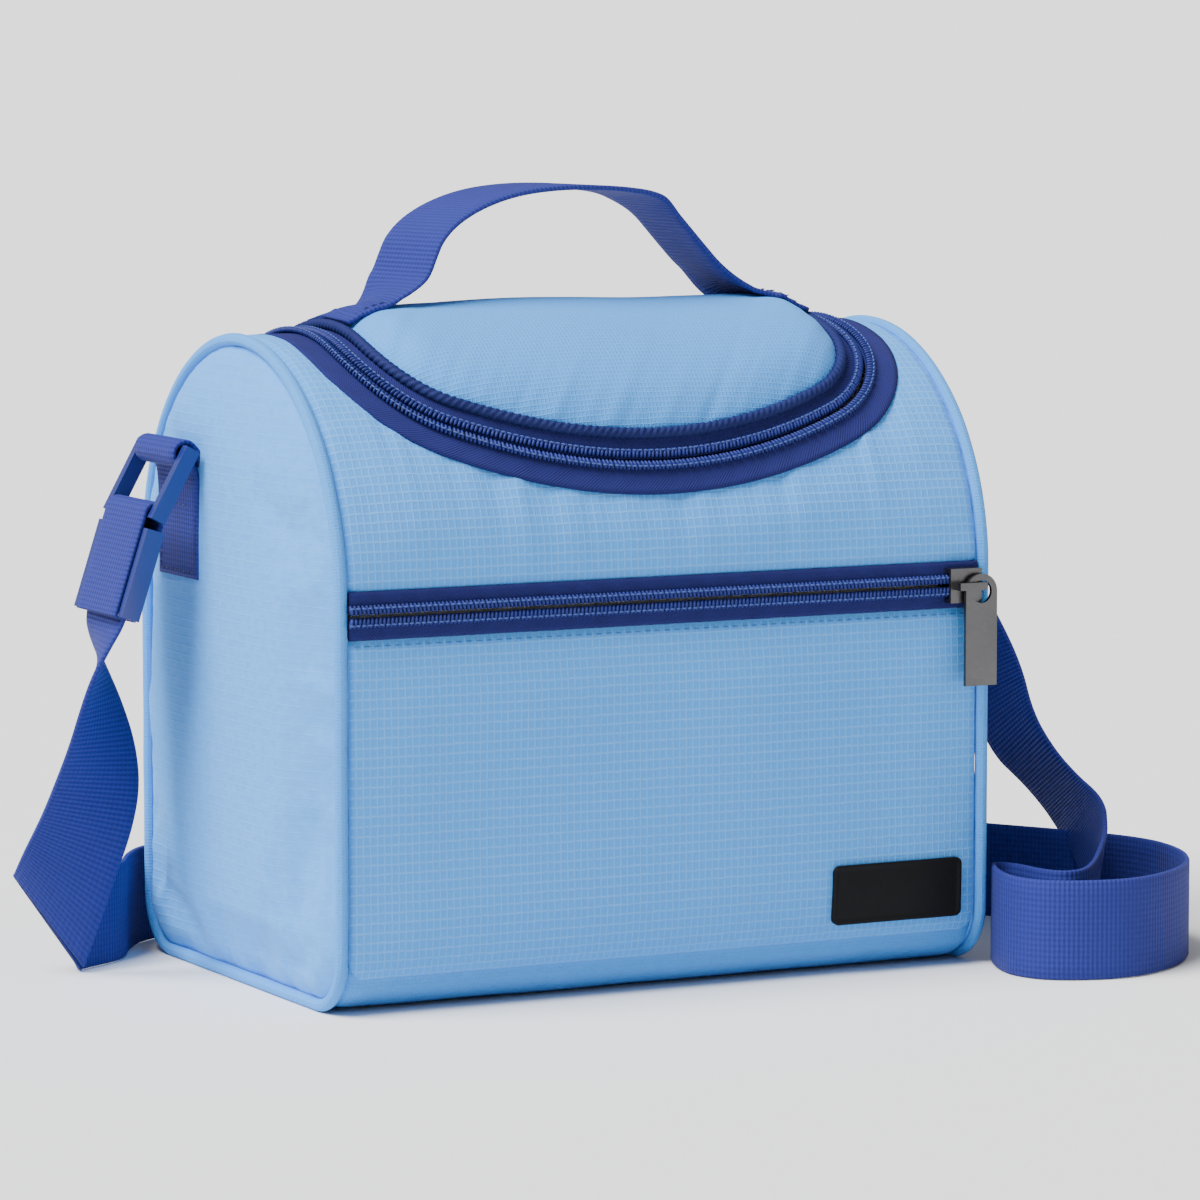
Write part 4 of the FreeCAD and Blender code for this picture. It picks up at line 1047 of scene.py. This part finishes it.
def zip_point(spot, offset, radius):
    """A point beside the zip line in mm: offset above 0 is towards the bag."""
    x, turn, y, nx, ny = spot
    if turn is None:
        reach = min((y + ny * offset) / TAPE_R, 1.0)
        turn = math.acos(reach) - TILT
    return Vector((x + nx * offset, -radius * math.sin(turn), ARCH_Z + radius * math.cos(turn)))


def zip_stations(offset, radius, pitch, part="all"):
    """Even stations beside the zip line: part is all, lid, or the left or right tail behind the lid."""
    found, travelled, due, last = [], 0.0, 0.0, None
    for k, spot in enumerate(ZIP_SPOTS):
        behind = spot[1] is not None and spot[1] < LID_START
        belongs = {"all": True, "lid": not behind, "left": behind and spot[0] < 0,
                   "right": behind and spot[0] > 0}
        if not belongs[part]:
            continue
        middle = zip_point(spot, offset, radius)
        if last is not None:
            travelled += (middle - last).length
        last = middle
        if travelled + DUE_SLACK < due:
            continue
        due += pitch
        side = (zip_point(spot, offset + HALF, radius) - zip_point(spot, offset - HALF, radius)).normalized()
        nearby = ZIP_SPOTS[k + 1] if k + 1 < len(ZIP_SPOTS) else ZIP_SPOTS[k - 1]
        along = (zip_point(nearby, offset, radius) - middle).normalized()
        out = side.cross(along).normalized()
        radial = Vector((0, middle.y, middle.z - ARCH_Z)).normalized()
        found.append((middle, side, out if out.dot(radial) > 0 else -out))
    return found


print("zip line:", round(len(ZIP_SPOTS) * DENSE), "mm")


# %% Teeth and stitches
def beads(name, stations, across, along, high, material, body, slot, stands_for=(), slant=0.0):
    """One small rounded shape per station, as zip coils and stitches are; sizes in mm."""
    bm = bmesh.new()
    for middle, side, out in stations:
        forward = out.cross(side).normalized()
        reach = (side + forward * slant).normalized()
        step = out.cross(reach).normalized()
        frame_matrix = Matrix((step * along / 2, out * high / 2, reach * across / 2)).transposed().to_4x4()
        frame_matrix.translation = middle
        bmesh.ops.create_uvsphere(bm, u_segments=8, v_segments=5, radius=1.0,
                                  matrix=Matrix.Scale(MM, 4) @ frame_matrix)
    bmesh.ops.recalc_face_normals(bm, faces=bm.faces)
    return piece(name, bm, material, body, stands_for)


def tape_section(near, far, drop_near, drop_far, thick=0.9):
    """A tape lying from near to far, with its outer face at the given heights, in mm."""
    count = 6
    top = [(near + (far - near) * k / count, drop_near + (drop_far - drop_near) * k / count)
           for k in range(count + 1)]
    return top + [(x, y - thick) for x, y in reversed(top)]


# %% Lid zip, bag side and lid side
TAPE_GAP = 0.6
TAPE_LIFT = 0.15
TAPE_PITCH = 1.6
BAG_FAR = BAND + 1.6
LID_FAR = -BAND - 0.8
BAG_RISE, LID_RISE, TAIL_RISE = 0.15, 1.7, 0.1
COIL_R = 78.5
COIL_OUT = 2.05
TOOTH = (3.4, 1.15, 2.2)
TOOTH_SLANT = 0.25
THREAD_OUT = 2.7
THREAD_LIFT = 0.95
THREAD_PITCH = 2.0
COIL_STITCH = (0.6, 1.7, 0.6)
for body, stand, sign, part, far, rise in (("bag", "outer", 1, "all", BAG_FAR, BAG_RISE),
                                           ("lid", "inner", -1, "lid", LID_FAR, LID_RISE)):
    tape = sweep(zip_stations(0.0, TAPE_R + TAPE_LIFT, TAPE_PITCH, part),
                 tape_section(sign * TAPE_GAP, far, 0.0, rise))
    piece("lid_zip_tape_" + body, tape, TAPE, body, ("lid_tape_" + stand,))
    beads("lid_coil_" + body, zip_stations(sign * COIL_OUT, COIL_R, COIL_PITCH, part), *TOOTH, COIL, body,
          "zip_coil", ("lid_coil_" + stand,), sign * TOOTH_SLANT)
    # The coil's thread row, coloured paler than the coil, so it also paints a highlight along the teeth.
    beads("coil_thread_highlight_" + body, zip_stations(sign * THREAD_OUT, COIL_R + THREAD_LIFT, THREAD_PITCH, part),
          *COIL_STITCH, COIL_THREAD_HIGHLIGHT, body, "zip_coil")
for side in ("left", "right"):
    stands = ("tail_tape_inner", "tail_coil_inner") if side == "left" else ()
    tail = sweep(zip_stations(0.0, TAPE_R + TAPE_LIFT, TAPE_PITCH, side),
                 tape_section(-TAPE_GAP, LID_FAR, 0.0, TAIL_RISE))
    piece("zip_tail_tape_" + side, tail, TAPE, "bag", stands)
    beads("zip_tail_coil_" + side, zip_stations(-COIL_OUT, COIL_R, COIL_PITCH, side), *TOOTH, COIL, "bag",
          "zip_coil", (), -TOOTH_SLANT)

# %% Rope along the lid's edge
ROPE_OFFSET = -8.3
ROPE_RADIUS = 79.9
ROPE_TURN = 0.8
ROPE_SIZE = 1.8
ROPE_LAY = 0.16
ROPE_STRANDS = 3
ROPE_SIDES = 18
ROPE_PITCH = 0.9
lobes = []
for k in range(ROPE_SIDES):
    a = math.tau * k / ROPE_SIDES
    size = ROPE_SIZE + ROPE_LAY * math.cos(ROPE_STRANDS * a)
    lobes.append((size * math.cos(a), size * math.sin(a)))
twisted = []
for k, (middle, side, out) in enumerate(zip_stations(ROPE_OFFSET, ROPE_RADIUS, ROPE_PITCH, "lid")):
    c, s = math.cos(k * ROPE_TURN), math.sin(k * ROPE_TURN)
    twisted.append((middle, side * c + out * s, out * c - side * s))
piece("lid_rope", sweep(twisted, lobes), ROPE, "lid", ("lid_edge_cord",))

# %% Pocket zip
ZIP_FACE = -77.2
ZIP_MIDDLE = 123.8
ZIP_HALF_X = 110.6
POCKET_TAPE = 7.4
POCKET_FALL = -0.3
POCKET_TAPE_OUT, POCKET_COIL_OUT, POCKET_THREAD_OUT = 0.1, 1.35, 2.3
POCKET_TAPE_PITCH = 3.0
POCKET_TOOTH = (3.3, 1.15, 2.2)
POCKET_COIL_Z, POCKET_THREAD_Z = 2.0, 2.6


def straight_stations(z, pitch, out_by):
    """Even stations along the pocket zip at a height, out_by mm in front of its tapes."""
    count = round(2 * ZIP_HALF_X / pitch)
    return [(Vector((-ZIP_HALF_X + 2 * ZIP_HALF_X * k / count, ZIP_FACE - out_by, z)), UP, FORWARD)
            for k in range(count + 1)]


for row, sign in (("lower", -1), ("upper", 1)):
    section = tape_section(sign * TAPE_GAP, sign * POCKET_TAPE, 0.0, POCKET_FALL)
    flat = straight_stations(ZIP_MIDDLE, POCKET_TAPE_PITCH, POCKET_TAPE_OUT)
    piece("pocket_zip_tape_" + row, sweep(flat, section), TAPE, "bag", ("pocket_tape_" + row,))
    teeth = straight_stations(ZIP_MIDDLE + sign * POCKET_COIL_Z, COIL_PITCH, POCKET_COIL_OUT)
    beads("pocket_coil_" + row + "_teeth", teeth, *POCKET_TOOTH, COIL, "bag", "zip_coil",
          ("pocket_coil_" + row,), sign * TOOTH_SLANT)
    sewn = straight_stations(ZIP_MIDDLE + sign * POCKET_THREAD_Z, THREAD_PITCH, POCKET_THREAD_OUT)
    # The pocket coil's thread row, coloured paler than the coil, so it also paints a highlight along the
    # teeth.
    beads("pocket_thread_highlight_" + row, sewn, *COIL_STITCH, COIL_THREAD_HIGHLIGHT, "bag", "zip_coil")


# %% Top stitching of the pocket
STITCH_DROP = 2.6
STITCH_LIFT = 0.05
STITCH_HALF_X = 108.0
STITCH_COUNT = 64
POCKET_STITCH = (0.45, 2.3, 0.4)


def spread(low, high, count):
    """Even values from low to high, both included."""
    return [low + (high - low) * k / (count - 1) for k in range(count)]


stitch_row = [(wall_point(x, POCKET_RUN - STITCH_DROP, STITCH_LIFT), UP, FORWARD)
              for x in spread(-STITCH_HALF_X, STITCH_HALF_X, STITCH_COUNT)]
beads("pocket_topstitch", stitch_row, *POCKET_STITCH, SKY_THREAD, "bag", "ripstop")

# %% [markdown]
# ## Padded lid
# Foam under the lid cloth lifts it well above the zip. The cloth rises steeply from the rope, then lies
# over a round roll that is a little flatter than the bag's own arch. It is sewn at the rim, so gathers run
# in from there.

# %% Lid cloth
ROLL_Y = -7.0
ROLL_Z = 22.0
ROLL_R = 65.0
RIM_GAP = 9.3
RIM_R = 79.6
RISE_RUN = 15.0
RISE_POWER = 2.4
ROLL_TAPER = 2.0
RIM_EASE, REAR_EASE, REAR_START = 14.0, 26.0, 2.0
LID_HALF_X = 86.0
LID_FRONT_RUN = 84.0
LID_STEP = 1.8


def roll_radius(turn, x):
    """How far the padded roll is from the arch's axis at an angle from the top."""
    ey, ez = -math.sin(turn), math.cos(turn)
    reach = ey * ROLL_Y + ez * ROLL_Z
    size = ROLL_R - ROLL_TAPER * (x / LID_LEG) ** 2
    return reach + math.sqrt(reach ** 2 - ROLL_Y ** 2 - ROLL_Z ** 2 + size ** 2)


def lid_point(x, along):
    """The outside of the lid cloth; along is mm from the top of the arch, positive to the front."""
    turn = along / ARCH_R
    depth = max(-RIM_GAP - zip_gap(x, turn), 0.0)
    rear = max(turn - HINGE_TURN, 0.0) * ARCH_R
    rise = 1.0 - (1.0 - min(depth / RISE_RUN, 1.0)) ** RISE_POWER
    rim = TAPE_R + (RIM_R - TAPE_R) * smoothstep(rear / RIM_EASE)
    roll = TAPE_R + (roll_radius(turn, x) - TAPE_R) * smoothstep((rear + REAR_START) / REAR_EASE)
    radius = rim + (roll - rim) * rise
    radius += gather(x * 1.3 + along, depth, reach=12.0, seed=41.0, size=1.5)
    radius += sag(x, along, seed=9.0, size=0.8, wave=0.022) * rise
    return Vector((x, -radius * math.sin(turn), ARCH_Z + radius * math.cos(turn)))


def lid_outside(x, along):
    """The lid's outline in the flat."""
    return zip_gap(x, along / ARCH_R) + RIM_GAP


LID_LOW, LID_HIGH = (-LID_HALF_X, HINGE_TURN * ARCH_R), (LID_HALF_X, LID_FRONT_RUN)
lid_bm = trimmed(LID_LOW, LID_HIGH, LID_STEP, lid_outside, lid_point)
bmesh.ops.reverse_faces(lid_bm, faces=lid_bm.faces)
lid_cloth = piece("lid_cloth", lid_bm, LID_CLOTH, "lid", ("lid_panel", "lid_foam"))
settle(lid_cloth, slack=0.015, limit=2.0)
finish_cloth(lid_cloth, CLOTH_THICK)

# %% [markdown]
# ## Carry handle
# One piece of webbing: each end is sewn flat on the padded lid, then it rises steeply and arches over.

# %% Handle webbing
HANDLE_LINE = ((-82.5, 0.0), (-75.0, 0.0), (-68.0, 0.0), (-61.5, 218.2), (-57.0, 223.0), (-54.6, 229.0),
               (-52.2, 234.5), (-46.5, 240.2), (-37.0, 245.3), (-25.0, 248.9), (-11.0, 250.4), (2.0, 250.4),
               (14.0, 249.6), (24.5, 248.0), (31.5, 244.0), (37.0, 238.2), (42.8, 231.8), (50.5, 223.6),
               (59.0, 217.9), (67.0, 0.0), (75.0, 0.0), (82.5, 0.0))
LEG_TWIST = 2.6
SEWN_X = 65.0
FREE_Z = 222.0
SEWN_END = 80.0
SEWN_LIFT = 0.9
TWIST_X, TWIST_EASE = 36.0, 10.0
PLAN_R = 84.0
PLAN_ROUNDS = 4


def lid_top(x, y):
    """The height of the lid cloth above a point of the plan."""
    turn = math.asin(max(min(-y / PLAN_R, 1.0), -1.0))
    for _ in range(PLAN_ROUNDS):
        spot = lid_point(x, turn * ARCH_R)
        turn += (spot.y - y) / PLAN_R
    return spot.z


def under_handle(x, y=0.0):
    """The lid's height under the handle, held level past its sewn ends."""
    return lid_top(max(min(x, SEWN_END), -SEWN_END), y)


handle_controls = [Vector((x, 0.0, z or under_handle(x) + SEWN_LIFT)) for x, z in HANDLE_LINE]
handle_middles = spline_points("handle_line", handle_controls, 12)
handle_bm = sweep(stations_along(handle_middles, TO_BACK), WEB_SECTION)
peak = lid_top(SEWN_X, 0.0)
for vert in handle_bm.verts:
    spot = vert.co / MM
    follow = 1.0 - smoothstep((spot.z - peak - 1.0) / (FREE_Z - peak))
    fall = under_handle(spot.x, spot.y) - under_handle(spot.x)
    twist = LEG_TWIST * spot.y / (WEB_WIDE / 2) * (1.0 - follow)
    vert.co.z += fall * follow * MM
    vert.co.x -= twist * smoothstep((TWIST_X - spot.x) / TWIST_EASE) * MM
handle = piece("handle_webbing", handle_bm, WEBBING, None,
               ("handle_foot_left", "handle_foot_right", "handle_leg_left", "handle_leg_right", "handle_bow"))
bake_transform(handle)

# %% Stitching that holds the handle
SEW_Y = 13.5
SEW_COLUMNS = (68.5, 79.0)
SEW_ROW = (70.0, 78.0)
SEW_LIFT = 1.8
HANDLE_STITCH = (0.5, 2.4, 0.5)
for side, sign in SIDES:
    spots = [(x, y, Vector((1, 0, 0))) for y in spread(-SEW_Y, SEW_Y, 9) for x in SEW_COLUMNS]
    spots += [(x, y, TO_BACK) for x in spread(*SEW_ROW, 4) for y in (-SEW_Y, SEW_Y)]
    box = [(Vector((sign * x, y, lid_top(sign * x, y) + SEW_LIFT)), across, UP) for x, y, across in spots]
    beads("handle_stitches_" + side, box, *HANDLE_STITCH, ROYAL_THREAD, "lid", "webbing")

# %% [markdown]
# ## Tabs, rings and threads
# A short tab of webbing on each side holds the ring: it goes up, round the ring's upper bar and down again,
# and is sewn flat with a box of stitches. The strap ends pass round the ring's lower bar in the same way.

# %% Tabs
TAB_Y = 24.0
BAR_X, BAR_Z = 128.0, 168.0
LOOP_R = 3.8
LOOP_FROM, LOOP_TO = 140.0, -125.0
ARC_STEPS = 12
TAB_INNER = ((121.6, 128.0), (121.6, 145.0), (121.9, 160.0), (123.0, 168.0))
TAB_OUTER = ((124.2, 162.5), (123.6, 157.0), (123.4, 145.0), (123.4, 128.0))
TAB_FACE = 124.3
TAB_SEW_Y, TAB_SEW_Z = (TAB_Y - 13.6, TAB_Y + 13.6), (130.0, 151.0)
TAB_STITCH = (0.5, 2.3, 0.5)
WEB_STEP = 1.0


def loop_strip(name, corners, sign, body, stands_for):
    """Webbing through (x, z) corners given for the right side, mirrored when sign is -1."""
    points = rounded_path([(sign * x, TAB_Y, z) for x, z in corners], WEB_STEP)
    piece(name, sweep(stations_along(points, TO_BACK), WEB_SECTION), WEBBING, body, stands_for)


round_bar = [(BAR_X + LOOP_R * math.cos(math.radians(a)), BAR_Z + LOOP_R * math.sin(math.radians(a)))
             for a in spread(LOOP_FROM, LOOP_TO, ARC_STEPS + 1)]
for side, sign in SIDES:
    loop_strip("tab_" + side, [*TAB_INNER, *round_bar, *TAB_OUTER], sign, "bag", ("strap_tab_" + side,))
    spots = [(y, z, TO_BACK) for z in spread(131.0, 150.0, 8) for y in TAB_SEW_Y]
    spots += [(y, z, UP) for y in spread(TAB_Y - 12.0, TAB_Y + 12.0, 8) for z in TAB_SEW_Z]
    box = [(Vector((sign * TAB_FACE, y, z)), across, Vector((sign, 0, 0))) for y, z, across in spots]
    beads("tab_stitches_" + side, box, *TAB_STITCH, ROYAL_THREAD, "bag", "webbing")

# %% Threads round the lower bars
LOWER_BAR = Vector((138.4, 149.3))
THREAD_R = 3.25
for side, sign, lean, reach in (("left", -1, 18.0, 34.4), ("right", 1, 29.0, 6.0)):
    lean = math.radians(lean)
    down = Vector((math.sin(lean), -math.cos(lean)))
    over = Vector((math.cos(lean), math.sin(lean)))
    corners = [LOWER_BAR - over * THREAD_R + down * reach * share for share in (1.0, 0.5)]
    corners += [LOWER_BAR - (over * math.cos(a) + down * math.sin(a)) * THREAD_R
                for a in spread(0.0, math.pi, ARC_STEPS + 1)]
    corners += [LOWER_BAR + over * THREAD_R + down * reach * share for share in (0.5, 1.0)]
    loop_strip("strap_loop_" + side, corners, sign, "ring_" + side, ("strap_thread_" + side,))

# %% [markdown]
# ## Lining
# The inside is a wipe-clean silver film over the foam, welded into a box, with a flat film on each end and
# another under the lid. Its cut edge round the opening is bound, so the wall's thickness shows as a soft
# rim.

# %% Lining of the body and lid
LINING_INSET = 7.2
LINING_X = 106.6
LID_LINING_INSET = 5.4
LINING_STEP, LID_LINING_STEP, END_STEP = 3.0, 2.6, 4.0
CREASE_EASE = 8.0
OPENING_LAP = 1.0
FILM_GAP = 0.4
FILM_THICK = 0.5


def lining_point(x, run, inset):
    """The inside film, with the slack creases it has in use."""
    depth = LINING_X - abs(x)
    crease = sag(x, run, seed=61.0, size=0.7, wave=0.05) + sag(x, run, seed=67.0, size=1.0, wave=0.018)
    return on_arch(x, run, inset + crease * smoothstep(depth / CREASE_EASE))


def lining_outside(x, run):
    """The lining's opening under the lid; the cloth goes on everywhere behind the hinge."""
    return BAND - OPENING_LAP - gap_on_arch(x, run) if run < HINGE_RUN else -ARCH_R


body_lining = trimmed((-LINING_X, 0.0), (LINING_X, 2 * TOP_RUN), LINING_STEP, lining_outside,
                      lambda x, run: lining_point(x, run, LINING_INSET))
bmesh.ops.reverse_faces(body_lining, faces=body_lining.faces)
lining = piece("lining_body", body_lining, LINER, "bag",
               ("liner_front", "liner_back", "liner_bottom", "liner_top", "pocket_lining", "base_board",
                "base_foam"))
finish_cloth(lining, FILM_THICK, 0)
lid_film = trimmed(LID_LOW, LID_HIGH, LID_LINING_STEP, lambda x, along: lid_outside(x, along) + FILM_GAP,
                   lambda x, along: lining_point(x, TOP_RUN - along, LID_LINING_INSET))
lid_lining = piece("lining_lid", lid_film, LINER, "lid", ("lid_liner",))
finish_cloth(lid_lining, FILM_THICK, 0)
for side, sign in SIDES:
    bm = trimmed((-ARCH_R, 0.0), (ARCH_R, ARCH_Z + ARCH_R), END_STEP,
                 lambda y, z: LINING_INSET - inset_of(y, z),
                 lambda y, z: Vector((sign * (LINING_X + sag(y, z, 71.0 + sign, 0.8, 0.03)), y, z)))
    if sign > 0:
        bmesh.ops.reverse_faces(bm, faces=bm.faces)
    end = piece("lining_end_" + side, bm, LINER, "bag", ("side_foam_" + side, "liner_side_" + side))
    finish_cloth(end, FILM_THICK, 0)

# %% Bound edges of the opening and the lid
def edge_strip(near, far, top, low):
    """A thin band on edge: from near to far across and from top to low."""
    return [(near, top), (near, low), (far, low), (far, top)]


EDGE_PITCH = 2.0
OPENING_EDGE = edge_strip(0.5, -0.4, -0.6, -6.6)
LID_EDGE = edge_strip(0.3, -0.6, 1.4, -5.2)
bag_edge = sweep(zip_stations(BAND - TAPE_GAP, TAPE_R, EDGE_PITCH, "lid"), OPENING_EDGE)
piece("opening_edge", bag_edge, LINER, "bag")
lid_edge = sweep(zip_stations(-RIM_GAP, TAPE_R, EDGE_PITCH, "lid"), LID_EDGE)
piece("lid_edge_binding", lid_edge, LINER, "lid")

# %% [markdown]
# ## Label
# A small black rubber patch is sewn at the lower right of the pocket. It is left blank, with a raised rim.

# %% Label patch
LABEL_LEFT, LABEL_RIGHT = 57.0, 104.3
LABEL_LOW, LABEL_HIGH = run_at_front(17.0), run_at_front(36.0)
LABEL_ROUND = 2.2
LABEL_THICK = 1.1
LABEL_STEP = 0.55
RIM_HEIGHT, RIM_WIDE, RIM_SLOPE = 0.35, 0.9, 0.5
BACKING = 0.4


def label_outside(x, run):
    """The rounded outline of the label."""
    dx = abs(x - (LABEL_LEFT + LABEL_RIGHT) / 2) - (LABEL_RIGHT - LABEL_LEFT) / 2 + LABEL_ROUND
    dy = abs(run - (LABEL_LOW + LABEL_HIGH) / 2) - (LABEL_HIGH - LABEL_LOW) / 2 + LABEL_ROUND
    if dx > 0 and dy > 0:
        return math.hypot(dx, dy) - LABEL_ROUND
    return max(dx, dy) - LABEL_ROUND


def label_point(x, run):
    """The face of the label, with its raised rim."""
    depth = -label_outside(x, run)
    return wall_point(x, run, LABEL_THICK + RIM_HEIGHT * (1.0 - smoothstep((depth - RIM_WIDE) / RIM_SLOPE)))


label_bm = trimmed((LABEL_LEFT, LABEL_LOW), (LABEL_RIGHT, LABEL_HIGH), LABEL_STEP, label_outside, label_point)
label = piece("label_patch", label_bm, LABEL, "bag", ("label",))
finish_cloth(label, LABEL_THICK + BACKING, 0)

# %% [markdown]
# ## Moulded and metal parts
# The rings, the adjuster, the zip sliders and their pulls are hard parts whose solids are already right.
# They keep them, and get a gloss blue moulding or a worn dark plating.

# %% Finish the hard parts
HARD_PARTS = {
    "moulded_blue": (MOULDED, ("ring_left", "ring_right", "strap_adjuster")),
    "gunmetal": (GUNMETAL, ("pocket_slider", "pocket_pull", "lid_slider", "lid_pull"))}
for slot, (material, names) in HARD_PARTS.items():
    for name in names:
        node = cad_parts[name]
        node.data.materials.clear()
        node.data.materials.append(material)
print("hard parts finished")

# %% [markdown]
# ## Studio
# A plain white floor, which lifts a little far behind the bag to hide its end, and soft light: one broad
# key from the upper left and the pale surroundings of a light tent. The bright floor throws light back on
# the front.

# %% Floor and light
FLOOR_FLAT = 12.0
FLOOR_FAR = 400.0
FLOOR_LIFT = Vector((0, 0, 8.0))
FLOOR_SIDES = 64
FLOOR_SOCKETS = {"Base Color": (0.86, 0.86, 0.86, 1), "Roughness": 0.9}
KEY_TOWARDS = Vector((-1.25, -0.12, 1.85))
KEY_STRENGTH = 7.2
KEY_SOFTNESS = math.radians(40.0)
TENT_SOCKETS = {"Color": (1, 1, 1, 1), "Strength": 0.42}
floor_mesh = bpy.data.meshes.new("studio_floor")
floor_bm = bmesh.new()
bmesh.ops.create_circle(floor_bm, cap_ends=True, segments=FLOOR_SIDES, radius=FLOOR_FLAT)
rim = bmesh.ops.extrude_edge_only(floor_bm, edges=[e for e in floor_bm.edges if e.is_boundary])
for vert in [g for g in rim["geom"] if isinstance(g, bmesh.types.BMVert)]:
    vert.co = vert.co * (FLOOR_FAR / FLOOR_FLAT) + FLOOR_LIFT
floor_bm.to_mesh(floor_mesh)
floor_bm.free()
floor = bpy.data.objects.new("studio_floor", floor_mesh)
bpy.context.scene.collection.objects.link(floor)
floor_paint = bpy.data.materials.new("studio_white")
floor_paint.use_nodes = True
for socket, value in FLOOR_SOCKETS.items():
    floor_paint.node_tree.nodes["Principled BSDF"].inputs[socket].default_value = value
floor_mesh.materials.append(floor_paint)

key_data = bpy.data.lights.new("key_light", "SUN")
key_data.energy = KEY_STRENGTH
key_data.angle = KEY_SOFTNESS
key = bpy.data.objects.new("key_light", key_data)
key.rotation_euler = (-KEY_TOWARDS).to_track_quat("-Z", "Y").to_euler()
bpy.context.scene.collection.objects.link(key)
surroundings = bpy.data.worlds.new("light_tent")
surroundings.use_nodes = True
for socket, value in TENT_SOCKETS.items():
    surroundings.node_tree.nodes["Background"].inputs[socket].default_value = value
bpy.context.scene.world = surroundings
